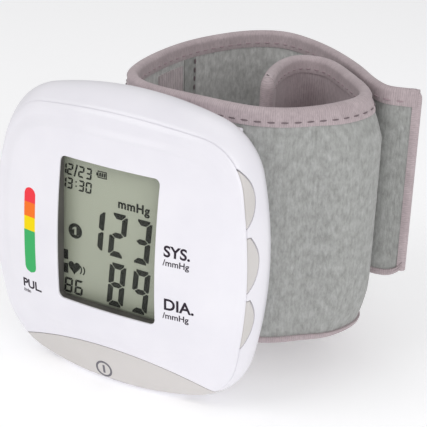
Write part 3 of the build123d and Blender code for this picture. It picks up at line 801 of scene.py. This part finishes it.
def end_tape(name, run, forward, thick, low, wide=4.4):
    """The edge tape folded round an upright free end, with its upper corner rounded off."""
    corner = thick + 1.4
    turn = CUFF_TOP - corner
    heights = [low] + list(np.linspace(low, turn, 24))
    heights += [turn + corner * math.sin(math.pi / 12 * n) for n in range(1, 7)]
    points = []
    for height in heights:
        left = math.sqrt(max(0.0, 1 - (max(0.0, height - turn) / corner)**2))
        back = (1 - left) * corner
        size = thick * (0.35 + 0.65 * left)
        nose = [math.pi / 2 - math.pi * n / 10 for n in range(1, 10)]
        loop = [(-wide, size), (-wide / 2, size), (-back, size)]
        loop += [(-back + thick * math.cos(a), size * math.sin(a)) for a in nose]
        loop += [(-back, -size), (-wide / 2, -size), (-wide, -size)]
        for step, offset in loop:
            place = run + forward * step
            over = max(0.0, place - RUN[-1]) + min(0.0, place)
            spot = beside(np.array([min(max(place, 0.0), RUN[-1])]), np.array([offset]))[0]
            side = outward(place)
            spot = spot + np.array([side[1], -side[0]]) * over
            points.append((spot[0], spot[1], height))
    piece = clean(plain_mesh(name, points, tube_faces(len(heights), len(loop))), 0.002)
    layer = piece.data.uv_layers.new(name="cloth")
    for corner_loop in piece.data.loops:
        spot = piece.data.vertices[corner_loop.vertex_index].co
        layer.data[corner_loop.index].uv = (spot.z, spot.x + spot.y)
    return shade(dress(piece, "edge_tape"), 50)


def flat(height):
    """A height that is the same all along the cloth."""
    return lambda run: np.full(len(run), float(height))


def low_cloth(run):
    """Height of the cloth's lower edge inside the bottom tape."""
    return low_edge(run) + BOTTOM_TAPE * 0.6


def taped_run(name, start, stop, half, slots, nodes, extras):
    """One run of the cuff in place of the frame's: its cloth, its lining, both edge tapes and their stitches."""
    thick = half + 0.35
    sections = (
        panel_section(half, 0.05, low_cloth, CLOTH_TOP), panel_section(-0.05, -half, low_cloth, CLOTH_TOP),
        tape_section(thick, flat(CUFF_TOP - TOP_TAPE), flat(CUFF_TOP)),
        tape_section(thick, lambda run: low_edge(run) + BOTTOM_TAPE, low_edge),
    )
    pieces = []
    for part, section, slot in zip(("cloth", "lining", "top_tape", "bottom_tape"), sections, slots + ("edge_tape",) * 2):
        pieces.append(dress(cloth_strip(f"{name}_{part}", start, stop, section), slot))
    for part, side, thread in (("outer", 1, "thread"), ("inner", -1, "thread_pale")):
        row = stitches(f"{name}_{part}_stitches", start + 0.5, stop - 0.5, side * (thick + 0.02), STITCH_Z)
        pieces.append(dress(row, thread))
    pieces += extras
    for piece in pieces:
        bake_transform(piece)
    for piece, replaced in zip(pieces, nodes):
        if replaced:
            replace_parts(piece, *replaced)
    return {"FINISHED"}


# ---- settings ----

class CaseSettings(bpy.types.PropertyGroup):
    """Sizes of the moulded case"""
    step: FloatProperty(
        name="Face step", description="How far the face's middle stands proud, in mm", default=0.55, min=0, max=2)
    key_gap: FloatProperty(name="Key gap", description="Gap round each key, in mm", default=0.25, min=0.05, max=1)


class DisplaySettings(bpy.types.PropertyGroup):
    """Sizes on the display"""
    slant: FloatProperty(name="Slant", description="Lean of the digits", default=math.radians(4.6), subtype="ANGLE")
    stroke: FloatProperty(name="Stroke", description="Width of a big digit's strokes, in mm", default=1.7, min=0.1)


class StageSettings(bpy.types.PropertyGroup):
    """Camera and light"""
    lens: FloatProperty(name="Lens", description="Focal length in mm", default=121.9, min=10)
    strength: FloatProperty(name="Light", description="Strength of the room's even light", default=0.53, min=0)
    floor: FloatVectorProperty(
        name="Floor", description="Colour of the floor", default=(0.93, 0.93, 0.94), subtype="COLOR")


# ---- operators: the case ----

def key_outline(top, grow):
    """Side view of one side key: straight front and top, and a rear edge that tapers down."""
    y0, y1 = 0.4 - grow, KEY_BACK + grow
    z1, z0 = top + grow, top - KEY_LENGTH - grow
    knots = np.array((0.0, 6.8, 13.0, 17.5))
    rear = np.array([(y1 - 2.6, z1), (y1, z1 - 6.0), (y1 - 1.6, z0 + 3.2), (4.4, z0)])
    rounded = curve_through(knots, rear, np.linspace(0, 17.5, 26))
    return [(y0, z0), (y0, z1)] + [tuple(p) for p in rounded]


def power_cutter(name, grow):
    """The round zone at the bottom of the case that the power key fills."""
    radius = POWER_R + grow
    angles = np.linspace(math.radians(60), math.radians(120), 90)
    arc = [(radius * math.cos(a), POWER_TOP - POWER_R + radius * math.sin(a)) for a in angles]
    return prism(name, arc, (-12.0, 30.0))


def dome_block(name, behind):
    """Everything behind the domed face moved back by a depth, as a closed block."""
    rings = []
    for reach in np.linspace(60, 0, 24):
        angle = np.linspace(0, 2 * math.pi, 96, endpoint=False)
        x, z = reach * np.cos(angle), FACE_Z + reach * np.sin(angle)
        rings.append(np.stack([x, dome(x, z) + behind, z], 1))
    back = rings[0].copy()
    back[:, 1] = 40.0
    return ring_grid(name, [back * np.array((0, 1, 0)) + np.array((0, 0, FACE_Z)), back] + rings)


class MONITOR_OT_front_cover(bpy.types.Operator):
    """Moulds the domed front cover with its display opening"""
    bl_idname = "monitor.front_cover"
    bl_label = "Front cover"

    def execute(self, context):
        cover = ring_grid("case_front", cover_rings(context.scene.shell_settings.step), close=True)
        cut(cover, power_cutter("power_zone", 0.0))
        fit(cover, "case_white", 40, "monitor", "front_cover")
        return {"FINISHED"}


class MONITOR_OT_recess_lining(bpy.types.Operator):
    """Moulds the lining of the display recess, whose dark grey is painted shade"""
    bl_idname = "monitor.recess_lining"
    bl_label = "Recess lining"

    def execute(self, context):
        lip = view_ring(0.0, 0)
        under = dome(lip[:, 0], lip[:, 2]) + LIP_T + 0.02
        inner, outer = 0.03, LINING_T - 0.03
        loops = [view_ring(*place) for place in ((inner, under), (inner, RECESS_Y), (outer, RECESS_Y), (outer, under))]
        # its dark grey slot paints the recess's shade onto the lining
        fit(ring_grid("recess_lining", loops, close=True), "gasket_dark", 40, "monitor", "display_gasket")
        return {"FINISHED"}


def case_wall(name):
    """The wall of the case behind its seam, before anything is cut out of it."""
    return ring_grid(name, shell_rings(), close=True)


def door_outline(grow):
    """Side view of the battery cover, from the frame's own."""
    low, high = (((corner - ORIGIN) / MM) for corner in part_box("battery_cover"))
    return [(low.y - grow, low.z - grow), (high.y + grow, low.z - grow),
            (high.y + grow, high.z + grow), (low.y - grow, high.z + grow)]


class MONITOR_OT_rear_shell(bpy.types.Operator):
    """Moulds the rear shell with its key slots, battery opening, screw wells and cuff pad"""
    bl_idname = "monitor.rear_shell"
    bl_label = "Rear shell"

    def execute(self, context):
        shell = case_wall("case_rear")
        for number in range(3):
            slot = key_outline(KEY_TOP - KEY_PITCH * number, context.scene.shell_settings.key_gap)
            cut(shell, prism("slot", slot, RIGHT_SIDE, along_x=True))
        cut(shell, prism("door_opening", door_outline(0.2), LEFT_SIDE, along_x=True))
        cut(shell, cut(power_cutter("power_zone", 0.05), dome_block("behind_key", 4.6)))
        self.screw_wells(shell)
        self.cuff_pad(shell)
        fit(clean(shell), "case_white", 40, "monitor", "rear_shell")
        return {"FINISHED"}

    def screw_wells(self, shell):
        """Round wells in the back over the four screws."""
        upright = (math.pi / 2, 0, 0)
        for x, z in ((-24.0, 25.0), (24.0, 25.0), (-25.0, -31.5), (25.0, -31.5)):
            cut(shell, primitive("cylinder", vertices=48, radius=2.1 * MM, depth=16 * MM, location=at(x, 20.0, z),
                                 rotation=upright))

    def cuff_pad(self, shell):
        """The raised pad that the cuff is riveted to."""
        pad = primitive("cube", size=1, location=at(11.5, 22.6, 0.35), scale=(29 * MM, 1.5 * MM, 58.7 * MM))
        finish_modifier(pad, "BEVEL", width=0.5 * MM, segments=3, limit_method="ANGLE")
        cut(shell, pad, "UNION")


class MONITOR_OT_side_keys(bpy.types.Operator):
    """Moulds the three side keys, which continue the wall of the case"""
    bl_idname = "monitor.side_keys"
    bl_label = "Side keys"

    def execute(self, context):
        for number, name in enumerate(("upper", "middle", "lower")):
            zone = prism("key_zone", key_outline(KEY_TOP - KEY_PITCH * number, -0.02), RIGHT_SIDE, along_x=True)
            key = cut(case_wall(name + "_key"), zone, "INTERSECT")
            soften(key, 0.22, 40)
            fit(key, "key_grey", 50, name + "_side_key", name + "_side_key")
        return {"FINISHED"}


class MONITOR_OT_battery_door(bpy.types.Operator):
    """Moulds the battery cover with its four finger grooves"""
    bl_idname = "monitor.battery_door"
    bl_label = "Battery cover"

    def execute(self, context):
        zone = prism("door_zone", door_outline(0.0), LEFT_SIDE, along_x=True)
        cover = cut(case_wall("battery_door"), zone, "INTERSECT")
        for n in range(4):
            place = at(-41.0, 10.2 + 2.2 * n, -1.0)
            cut(cover, primitive("cylinder", vertices=32, radius=0.9 * MM, depth=14 * MM, location=place))
        soften(cover, 0.2, 40)
        fit(cover, "case_white", 40, "battery_cover", "battery_cover")
        return {"FINISHED"}


class MONITOR_OT_power_key(bpy.types.Operator):
    """Moulds the crescent power key over the lower lip of the case"""
    bl_idname = "monitor.power_key"
    bl_label = "Power key"

    def execute(self, context):
        nose = case_nose(context.scene.shell_settings.step)
        sides = [side_ring(OUTER, RIM + 1.2 * n) for n in range(1, 8)]
        centre = np.array((0.02, 1, 0.02))
        key = ring_grid("power_rocker", [nose[0] * centre] + nose + sides + [sides[-1] * centre], merge=0.02)
        self.close_poles(key)
        cut(key, power_cutter("power_zone", -context.scene.shell_settings.key_gap), "INTERSECT")
        cut(key, dome_block("key_back", 3.4))
        soften(key, 0.16, 45)
        fit(key, "key_grey", 40, "power_key", "power_key")
        return {"FINISHED"}

    def close_poles(self, key):
        """Fills the two small holes in the middle of the face and of the plate behind it."""
        pick(key)
        set_mode("EDIT")
        bpy.ops.mesh.select_all(action="DESELECT")
        bpy.ops.mesh.select_non_manifold()
        bpy.ops.mesh.edge_face_add()
        set_mode("OBJECT")
        clean(key)


# ---- operators: what is printed ----

def give_body(piece, thickness, material):
    """Gives a flat print a thin body behind its front and its ink."""
    turn_faces(piece, to_front=True)
    finish_modifier(piece, "SOLIDIFY", thickness=thickness * MM, offset=-1.0)
    return dress(piece, material)


def polygon_print(name, outlines, depth_of, thickness, material):
    """Flat shapes of (x, z) points, laid at a depth and given a thin body."""
    points, faces = [], []
    for shape in outlines:
        faces.append(tuple(range(len(points), len(points) + len(shape))))
        points += [(x, depth_of(x, z), z) for x, z in shape]
    return give_body(plain_mesh(name, points, faces), thickness, material)


STROKES = {
    "0": "abcdef", "1": "bc", "2": "abged", "3": "abgcd", "6": "afgedc", "8": "abcdefg", "9": "abcdfg",
}


def digit(text, left, low, width, height, stroke, slant, gap):
    """Outlines of one seven-stroke digit that leans to the right."""
    half, half_gap, middle = stroke / 2, gap / 2, height / 2
    tip_in, near, far = 0.42 * stroke, 0.36 * stroke, 0.95 * stroke
    shoulder, rise = far + half_gap, half * 0.86

    def bar(z, sign):
        inner, outer = near + half_gap, z - sign * near
        return [(tip_in, z), (width - tip_in, z), (width - inner, outer), (width - shoulder, z - sign * far),
                (shoulder, z - sign * far), (inner, outer)]

    def post(x, sign, tip, lean):
        return [(x, tip - lean * tip_in), (x, middle + lean * (0.3 * half + half_gap)),
                (x - sign * half * 0.6, middle + lean * half_gap), (x - sign * far, middle + lean * (rise + half_gap)),
                (x - sign * far, tip - lean * shoulder), (x - sign * near, tip - lean * (near + half_gap))]

    inset = half * 0.75 + half_gap
    parts = {
        "a": bar(height, 1), "d": bar(0, -1),
        "g": [(inset, middle), (shoulder, middle + rise), (width - shoulder, middle + rise),
              (width - inset, middle), (width - shoulder, middle - rise), (shoulder, middle - rise)],
        "b": post(width, 1, height, 1), "c": post(width, 1, 0, -1),
        "f": post(0, -1, height, 1), "e": post(0, -1, 0, -1),
    }
    lean = math.tan(slant)
    return [[(left + x + lean * z, low + z) for x, z in parts[letter]] for letter in STROKES[text]]


def band(inner, outer, x, z, first, last, count=24):
    """An arc-shaped outline between two radii."""
    angles = [first + (last - first) * n / count for n in range(count + 1)]
    far = [(x + outer * math.cos(a), z + outer * math.sin(a)) for a in angles]
    near = [(x + inner * math.cos(a), z + inner * math.sin(a)) for a in reversed(angles)]
    return far + near


def rectangle(x0, x1, z0, z1):
    """A rectangular outline."""
    return [(x0, z0), (x1, z0), (x1, z1), (x0, z1)]


def heart(x, z, size):
    """A heart outline."""
    shape = []
    for n in range(40):
        t = 2 * math.pi * n / 40
        across = 16 * math.sin(t)**3
        up = 13 * math.cos(t) - 5 * math.cos(2 * t) - 2 * math.cos(3 * t) - math.cos(4 * t)
        shape.append((x + across * size / 32, z + up * size / 28))
    return shape


def lettering(name, text, x, z, size, depth_of, material, bold, spread=1.0):
    """Plain printed words laid on a surface, with their left end on the baseline at (x, z)."""
    bpy.ops.object.text_add(location=(0, 0, 0))
    words = bpy.context.object.data
    words.body, words.size, words.offset = text, size, bold
    words.space_character, words.resolution_u = spread, 6
    bpy.ops.object.convert(target="MESH")
    piece = bpy.context.object
    piece.name = name
    for vertex in piece.data.vertices:
        across, up = x + vertex.co.x, z + vertex.co.y
        vertex.co = at(across, depth_of(across, up), up)
    return give_body(clean(piece, 0.01), 0.04, material)


class MONITOR_OT_display(bpy.types.Operator):
    """Lays the dark segments on the display glass"""
    bl_idname = "monitor.display"
    bl_label = "Display"

    def execute(self, context):
        settings = context.scene.screen_settings
        shapes = []
        for text, lefts, low, width, height, stroke, gap in (
            ("123", (-9.0, -2.1, 5.3), -5.9, 5.1, 12.4, settings.stroke, 0.3),
            ("89", (-2.3, 5.1), -20.2, 5.1, 12.6, settings.stroke, 0.3),
            ("1223", (-17.1, -15.1, -11.6, -9.3), 13.7, 1.85, 3.2, 0.5, 0.12),
            ("1330", (-17.2, -15.2, -11.6, -9.3), 9.85, 1.85, 3.1, 0.5, 0.12),
            ("86", (-15.9, -12.6), -20.1, 2.6, 4.4, 0.66, 0.14),
        ):
            for mark, left in zip(text, lefts):
                shapes += digit(mark, left, low, width, height, stroke, settings.slant, gap)
        shapes.append([(-12.95, 13.6), (-12.45, 13.6), (-11.55, 17.0), (-12.05, 17.0)])
        shapes += [rectangle(-12.35, -11.95, z, z + 0.4) for z in (10.8, 12.0)]
        shapes += [rectangle(-16.4, -14.6, z, z + 2.8) for z in (-10.5, -14.5)]
        shapes.append(heart(-12.6, -12.3, 3.7))
        shapes += [band(1.5, 1.85, x, -12.6, -0.75, 0.75) for x in (-12.0, -11.0)]
        shapes += self.battery_mark() + self.round_mark()
        marks = polygon_print("display_segments", shapes, lambda x, z: PRINT_Y, 0.05, "segments")
        unit = lettering("display_unit", "mmHg", 0.8, 8.2, 3.35, lambda x, z: PRINT_Y, "segments", 0.1, 1.1)
        for piece in (marks, unit):
            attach(piece, "monitor")
        return {"FINISHED"}

    def battery_mark(self):
        """A small cell with three bars in it."""
        sides = ((-5.9, -5.5, 15.5, 16.3), (-5.5, -2.7, 14.95, 15.2), (-5.5, -2.7, 16.65, 16.9),
                 (-5.5, -5.25, 15.2, 16.65), (-2.95, -2.7, 15.2, 16.65))
        bars = [[(x, 15.4), (x + 0.5, 15.4), (x + 0.6, 16.45), (x + 0.1, 16.45)] for x in (-5.05, -4.35, -3.65)]
        return [rectangle(*side) for side in sides] + bars

    def round_mark(self):
        """A dark disc with the number 1 left clear in it, as strips round the number."""
        x, z = -12.35, -1.7
        strips = (
            ((-1.55, -0.6), (-0.32, -1.5), (-0.32, 0.55), (-0.9, 0.2), (-1.05, 0.5),
             (-0.2, 1.2), (-0.2, 1.55), (-0.9, 1.3), (-1.55, 0.6)),
            ((0.38, -1.5), (1.55, -0.6), (1.55, 0.6), (0.38, 1.5)),
            rectangle(-0.2, 0.38, 1.2, 1.52), rectangle(-0.32, 0.38, -1.55, -1.15),
        )
        ring = band(1.5, 2.15, x, z, 0, 2 * math.pi, 48)
        return [ring] + [[(x + across, z + up) for across, up in strip] for strip in strips]


class MONITOR_OT_printing(bpy.types.Operator):
    """Prints the colour bar, the unit names and the power mark"""
    bl_idname = "monitor.printing"
    bl_label = "Printing"

    def execute(self, context):
        step = context.scene.shell_settings.step

        def face(x, z):
            return float(face_depth(np.array(x), np.array(z), step)) - 0.03

        for name, text, x, z, size, bold in (
            ("print_sys", "SYS.", 17.4, 0.5, 4.2, 0.1), ("print_sys_unit", "/mmHg", 17.3, -2.0, 2.4, 0.035),
            ("print_dia", "DIA.", 17.6, -14.4, 4.5, 0.1), ("print_dia_unit", "/mmHg", 17.4, -17.0, 2.4, 0.035),
            ("print_pul", "PUL.", -28.0, -20.9, 3.6, 0.09), ("print_pul_unit", "/min", -27.9, -22.5, 1.5, 0.03),
        ):
            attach(lettering(name, text, x, z, size, face, "text_ink", bold), "monitor")
        self.colour_bar(face)
        self.power_mark()
        return {"FINISHED"}

    def colour_bar(self, face):
        """The upright bar in four colours with round ends."""
        x, half, top, low = -24.65, 1.95, 8.7, -15.9
        edges = [top, 4.6, 0.55, -3.35, low]
        for name, high, bottom in zip(("red", "orange", "yellow", "green"), edges[:-1], edges[1:]):
            rows = np.linspace(bottom, high, 30)
            inside = np.minimum(np.minimum(top - rows, rows - low), half)
            width = np.sqrt(np.maximum(half**2 - (half - inside)**2, 0.0004))
            across = np.linspace(-1, 1, 7)
            shapes = [
                [(x + across[m + right] * width[n + up], float(rows[n + up]))
                 for right, up in ((0, 0), (1, 0), (1, 1), (0, 1))]
                for n in range(len(rows) - 1) for m in range(len(across) - 1)
            ]
            piece = polygon_print("bar_" + name, shapes, face, 0.03, "bar_" + name)
            clean(piece, 0.002)
            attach(piece, "monitor")

    def power_mark(self):
        """A ring with an upright bar in it, laid on the power key."""
        x, z = -2.4, -39.5
        key = bpy.data.objects["power_rocker"]

        def skin(px, pz):
            hit, place, _, _ = key.ray_cast(at(px, -20, pz), Vector((0, 1, 0)))
            return (place.y - ORIGIN.y) / MM - 0.03 if hit else dome(px, pz)

        part = 2 * math.pi / 24
        shapes = [band(2.0, 2.6, x, z, part * n, part * n + part, 3) for n in range(24)]
        shapes += [rectangle(x - 0.34, x + 0.34, z - 1.3 + 0.65 * n, z - 0.65 + 0.65 * n) for n in range(4)]
        mark = polygon_print("power_mark", shapes, skin, 0.03, "icon_ink")
        clean(mark, 0.02)
        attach(mark, "power_key")


# ---- operators: the cuff ----

MEET = how_far(10.0, 25.05)
TAIL_START = how_far(37.0, 71.7)


class MONITOR_OT_strap(bpy.types.Operator):
    """Sews the run of cuff that goes from behind the case round the wrist"""
    bl_idname = "monitor.strap"
    bl_label = "Strap"

    def execute(self, context):
        nodes = [["cuff_strap_" + part] for part in ("cloth", "lining", "top_edge", "bottom_edge")]
        return taped_run("strap", MEET, TAIL_START, 1.3, ("loop_cloth", "lining_cloth"), nodes, self.patches())

    def patches(self):
        """The hook patch and the seams on the strap's inner face."""
        near, far = how_far(-17.2, 50.0), how_far(-16.4, 62.5)
        top = CUFF_TOP - TOP_TAPE
        patch = cloth_strip("strap_hooks", near, far, panel_section(-1.3, -1.9, flat(-26), 28.5))
        strip = cloth_strip("strap_strip", far + 1.0, far + 6.0, panel_section(-1.3, -1.75, flat(-27), top))
        for piece, slot, node in ((patch, "hook_tape", "hook_patch"), (strip, "loop_cloth", "lining_seam")):
            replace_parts(dress(piece, slot), node)
        seam = upright_stitches("strap_seam", far + 5.2, -1.8, -27, top)
        edge = upright_stitches("strap_hooks_edge", near + 0.7, -1.95, -26, 28.5)
        return [patch, strip, dress(seam, "thread"), dress(edge, "thread_pale")]


class MONITOR_OT_tail(bpy.types.Operator):
    """Sews the narrow free end of the cuff"""
    bl_idname = "monitor.tail"
    bl_label = "Tail"

    def execute(self, context):
        cap = end_tape("tail_end_tape", RUN[-1] - 1.2, 1, 1.3, TAIL_BOTTOM + 2.5, wide=1.0)
        nodes = (["cuff_tail_cloth"], None, ["cuff_tail_top_edge"], ["cuff_tail_bottom_edge"])
        # the tail's lining takes the darker loop cloth, not the pale lining cloth, as painted shade on its inner face
        return taped_run("tail", TAIL_START, RUN[-1] - 0.8, 1.2, ("loop_cloth", "loop_cloth"), nodes, [cap])


class MONITOR_OT_curl(bpy.types.Operator):
    """Sews the padded run behind the case, its bend and the sprung curled end"""
    bl_idname = "monitor.curl"
    bl_label = "Curl"

    def execute(self, context):
        cap = end_tape("curl_end_tape", 1.6, -1, 1.9, CUFF_BOTTOM)
        nodes = (
            ("cuff_front_cloth", "cuff_stiffener", "cuff_curl_cloth"),
            ("cuff_front_lining", "cuff_air_bag", "cuff_curl_lining", "cuff_curl_stiffener"),
            ("cuff_front_top_edge", "cuff_curl_top_edge"), ("cuff_front_bottom_edge", "cuff_curl_bottom_edge"),
        )
        return taped_run("curl", 2.2, MEET, 1.5, ("loop_cloth", "curl_lining"), nodes, [cap])


# ---- operators: the rest ----

class MONITOR_OT_inside(bpy.types.Operator):
    """Gives every carried-over frame node the finish of its material"""
    bl_idname = "monitor.inside"
    bl_label = "Inner parts"

    def execute(self, context):
        for part in frame["record"]["subparts"]:
            dress(frame["nodes"][part["node"]], part["material_slot"])
        return {"FINISHED"}


class MONITOR_OT_stage(bpy.types.Operator):
    """Sets the pale floor, the soft light and the camera"""
    bl_idname = "monitor.stage"
    bl_label = "Stage"

    def execute(self, context):
        settings = context.scene.room_settings
        self.floor(settings)
        self.lights(context, settings)
        self.camera(context, settings)
        return {"FINISHED"}

    def floor(self, settings):
        """A wide pale sheet under the object."""
        ground = primitive("plane", size=6.0, location=(0, 0, CAD_BOX[0][2] - 0.0002))
        ground.name = "floor"
        material, _, shader = new_material("floor_paint", Roughness=0.9)
        for socket in ("Base Color", "Emission Color"):
            shader.inputs[socket].default_value = [*settings.floor, 1.0]
        # a little light of its own keeps the floor pale far from the lamps
        shader.inputs["Emission Strength"].default_value = 0.26
        ground.data.materials.append(material)

    def lights(self, context, settings):
        """Even room light with large soft panels above, left and right."""
        world = bpy.data.worlds.new("room")
        world.use_nodes = True
        world.node_tree.nodes["Background"].inputs["Color"].default_value = (1, 1, 1, 1)
        world.node_tree.nodes["Background"].inputs["Strength"].default_value = settings.strength
        context.scene.world = world
        target = at(5, 30, 0)
        for name, place, size, power in (
            ("key_light", (-260, -420, 430), 0.45, 0.95),
            ("fill_light", (460, -300, 220), 0.5, 1.0),
            ("top_light", (60, 120, 560), 0.45, 0.35),
        ):
            light = bpy.data.lights.new(name, "AREA")
            light.shape = "DISK"
            light.size = size
            light.energy = power
            lamp = bpy.data.objects.new(name, light)
            lamp.location = at(*place)
            lamp.rotation_euler = (target - lamp.location).to_track_quat("-Z", "Y").to_euler()
            context.scene.collection.objects.link(lamp)

    def camera(self, context, settings):
        """The viewing place, found from the display's corners."""
        azimuth, elevation, roll = (math.radians(a) for a in (28.879, 22.79, -2.527))
        reach = math.cos(elevation)
        back = Vector((math.sin(azimuth) * reach, -math.cos(azimuth) * reach, math.sin(elevation)))
        lens = bpy.data.cameras.new("camera")
        lens.lens = settings.lens
        lens.sensor_width = 36.0
        lens.clip_start = 0.01
        camera = bpy.data.objects.new("camera", lens)
        camera.rotation_mode = "QUATERNION"
        turn = (-back).to_track_quat("-Z", "Y")
        camera.rotation_quaternion = turn @ Quaternion((0, 0, 1), -roll)
        camera.location = at(187.04, -282.53, 151.0)
        context.scene.collection.objects.link(camera)
        context.scene.camera = camera
        context.scene.view_settings.view_transform = "Standard"


STEPS = (
    MONITOR_OT_inside, MONITOR_OT_front_cover, MONITOR_OT_recess_lining, MONITOR_OT_rear_shell, MONITOR_OT_side_keys,
    MONITOR_OT_battery_door, MONITOR_OT_power_key, MONITOR_OT_display, MONITOR_OT_printing, MONITOR_OT_strap,
    MONITOR_OT_tail, MONITOR_OT_curl, MONITOR_OT_stage,
)
SETTINGS = (("shell_settings", CaseSettings), ("screen_settings", DisplaySettings), ("room_settings", StageSettings))


class MONITOR_PT_panel(bpy.types.Panel):
    """Lists the steps and sizes of the wrist monitor"""
    bl_idname = "MONITOR_PT_panel"
    bl_label = "Wrist Monitor"
    bl_space_type = "VIEW_3D"
    bl_region_type = "UI"
    bl_category = "Wrist Monitor"

    def draw(self, context):
        for attribute, group in SETTINGS:
            box = self.layout.box()
            for name in group.__annotations__:
                box.prop(getattr(context.scene, attribute), name)
        for step in STEPS:
            self.layout.operator(step.bl_idname)


def register():
    for attribute, group in SETTINGS:
        bpy.utils.register_class(group)
        setattr(bpy.types.Scene, attribute, PointerProperty(type=group))
    for step in STEPS:
        bpy.utils.register_class(step)
    bpy.utils.register_class(MONITOR_PT_panel)


def unregister():
    bpy.utils.unregister_class(MONITOR_PT_panel)
    for step in reversed(STEPS):
        bpy.utils.unregister_class(step)
    for attribute, group in SETTINGS:
        delattr(bpy.types.Scene, attribute)
        bpy.utils.unregister_class(group)


def main():
    register()
    make_materials()
    for step in STEPS:
        group, name = step.bl_idname.split(".")
        getattr(getattr(bpy.ops, group), name)()


if __name__ == "__main__":
    main()
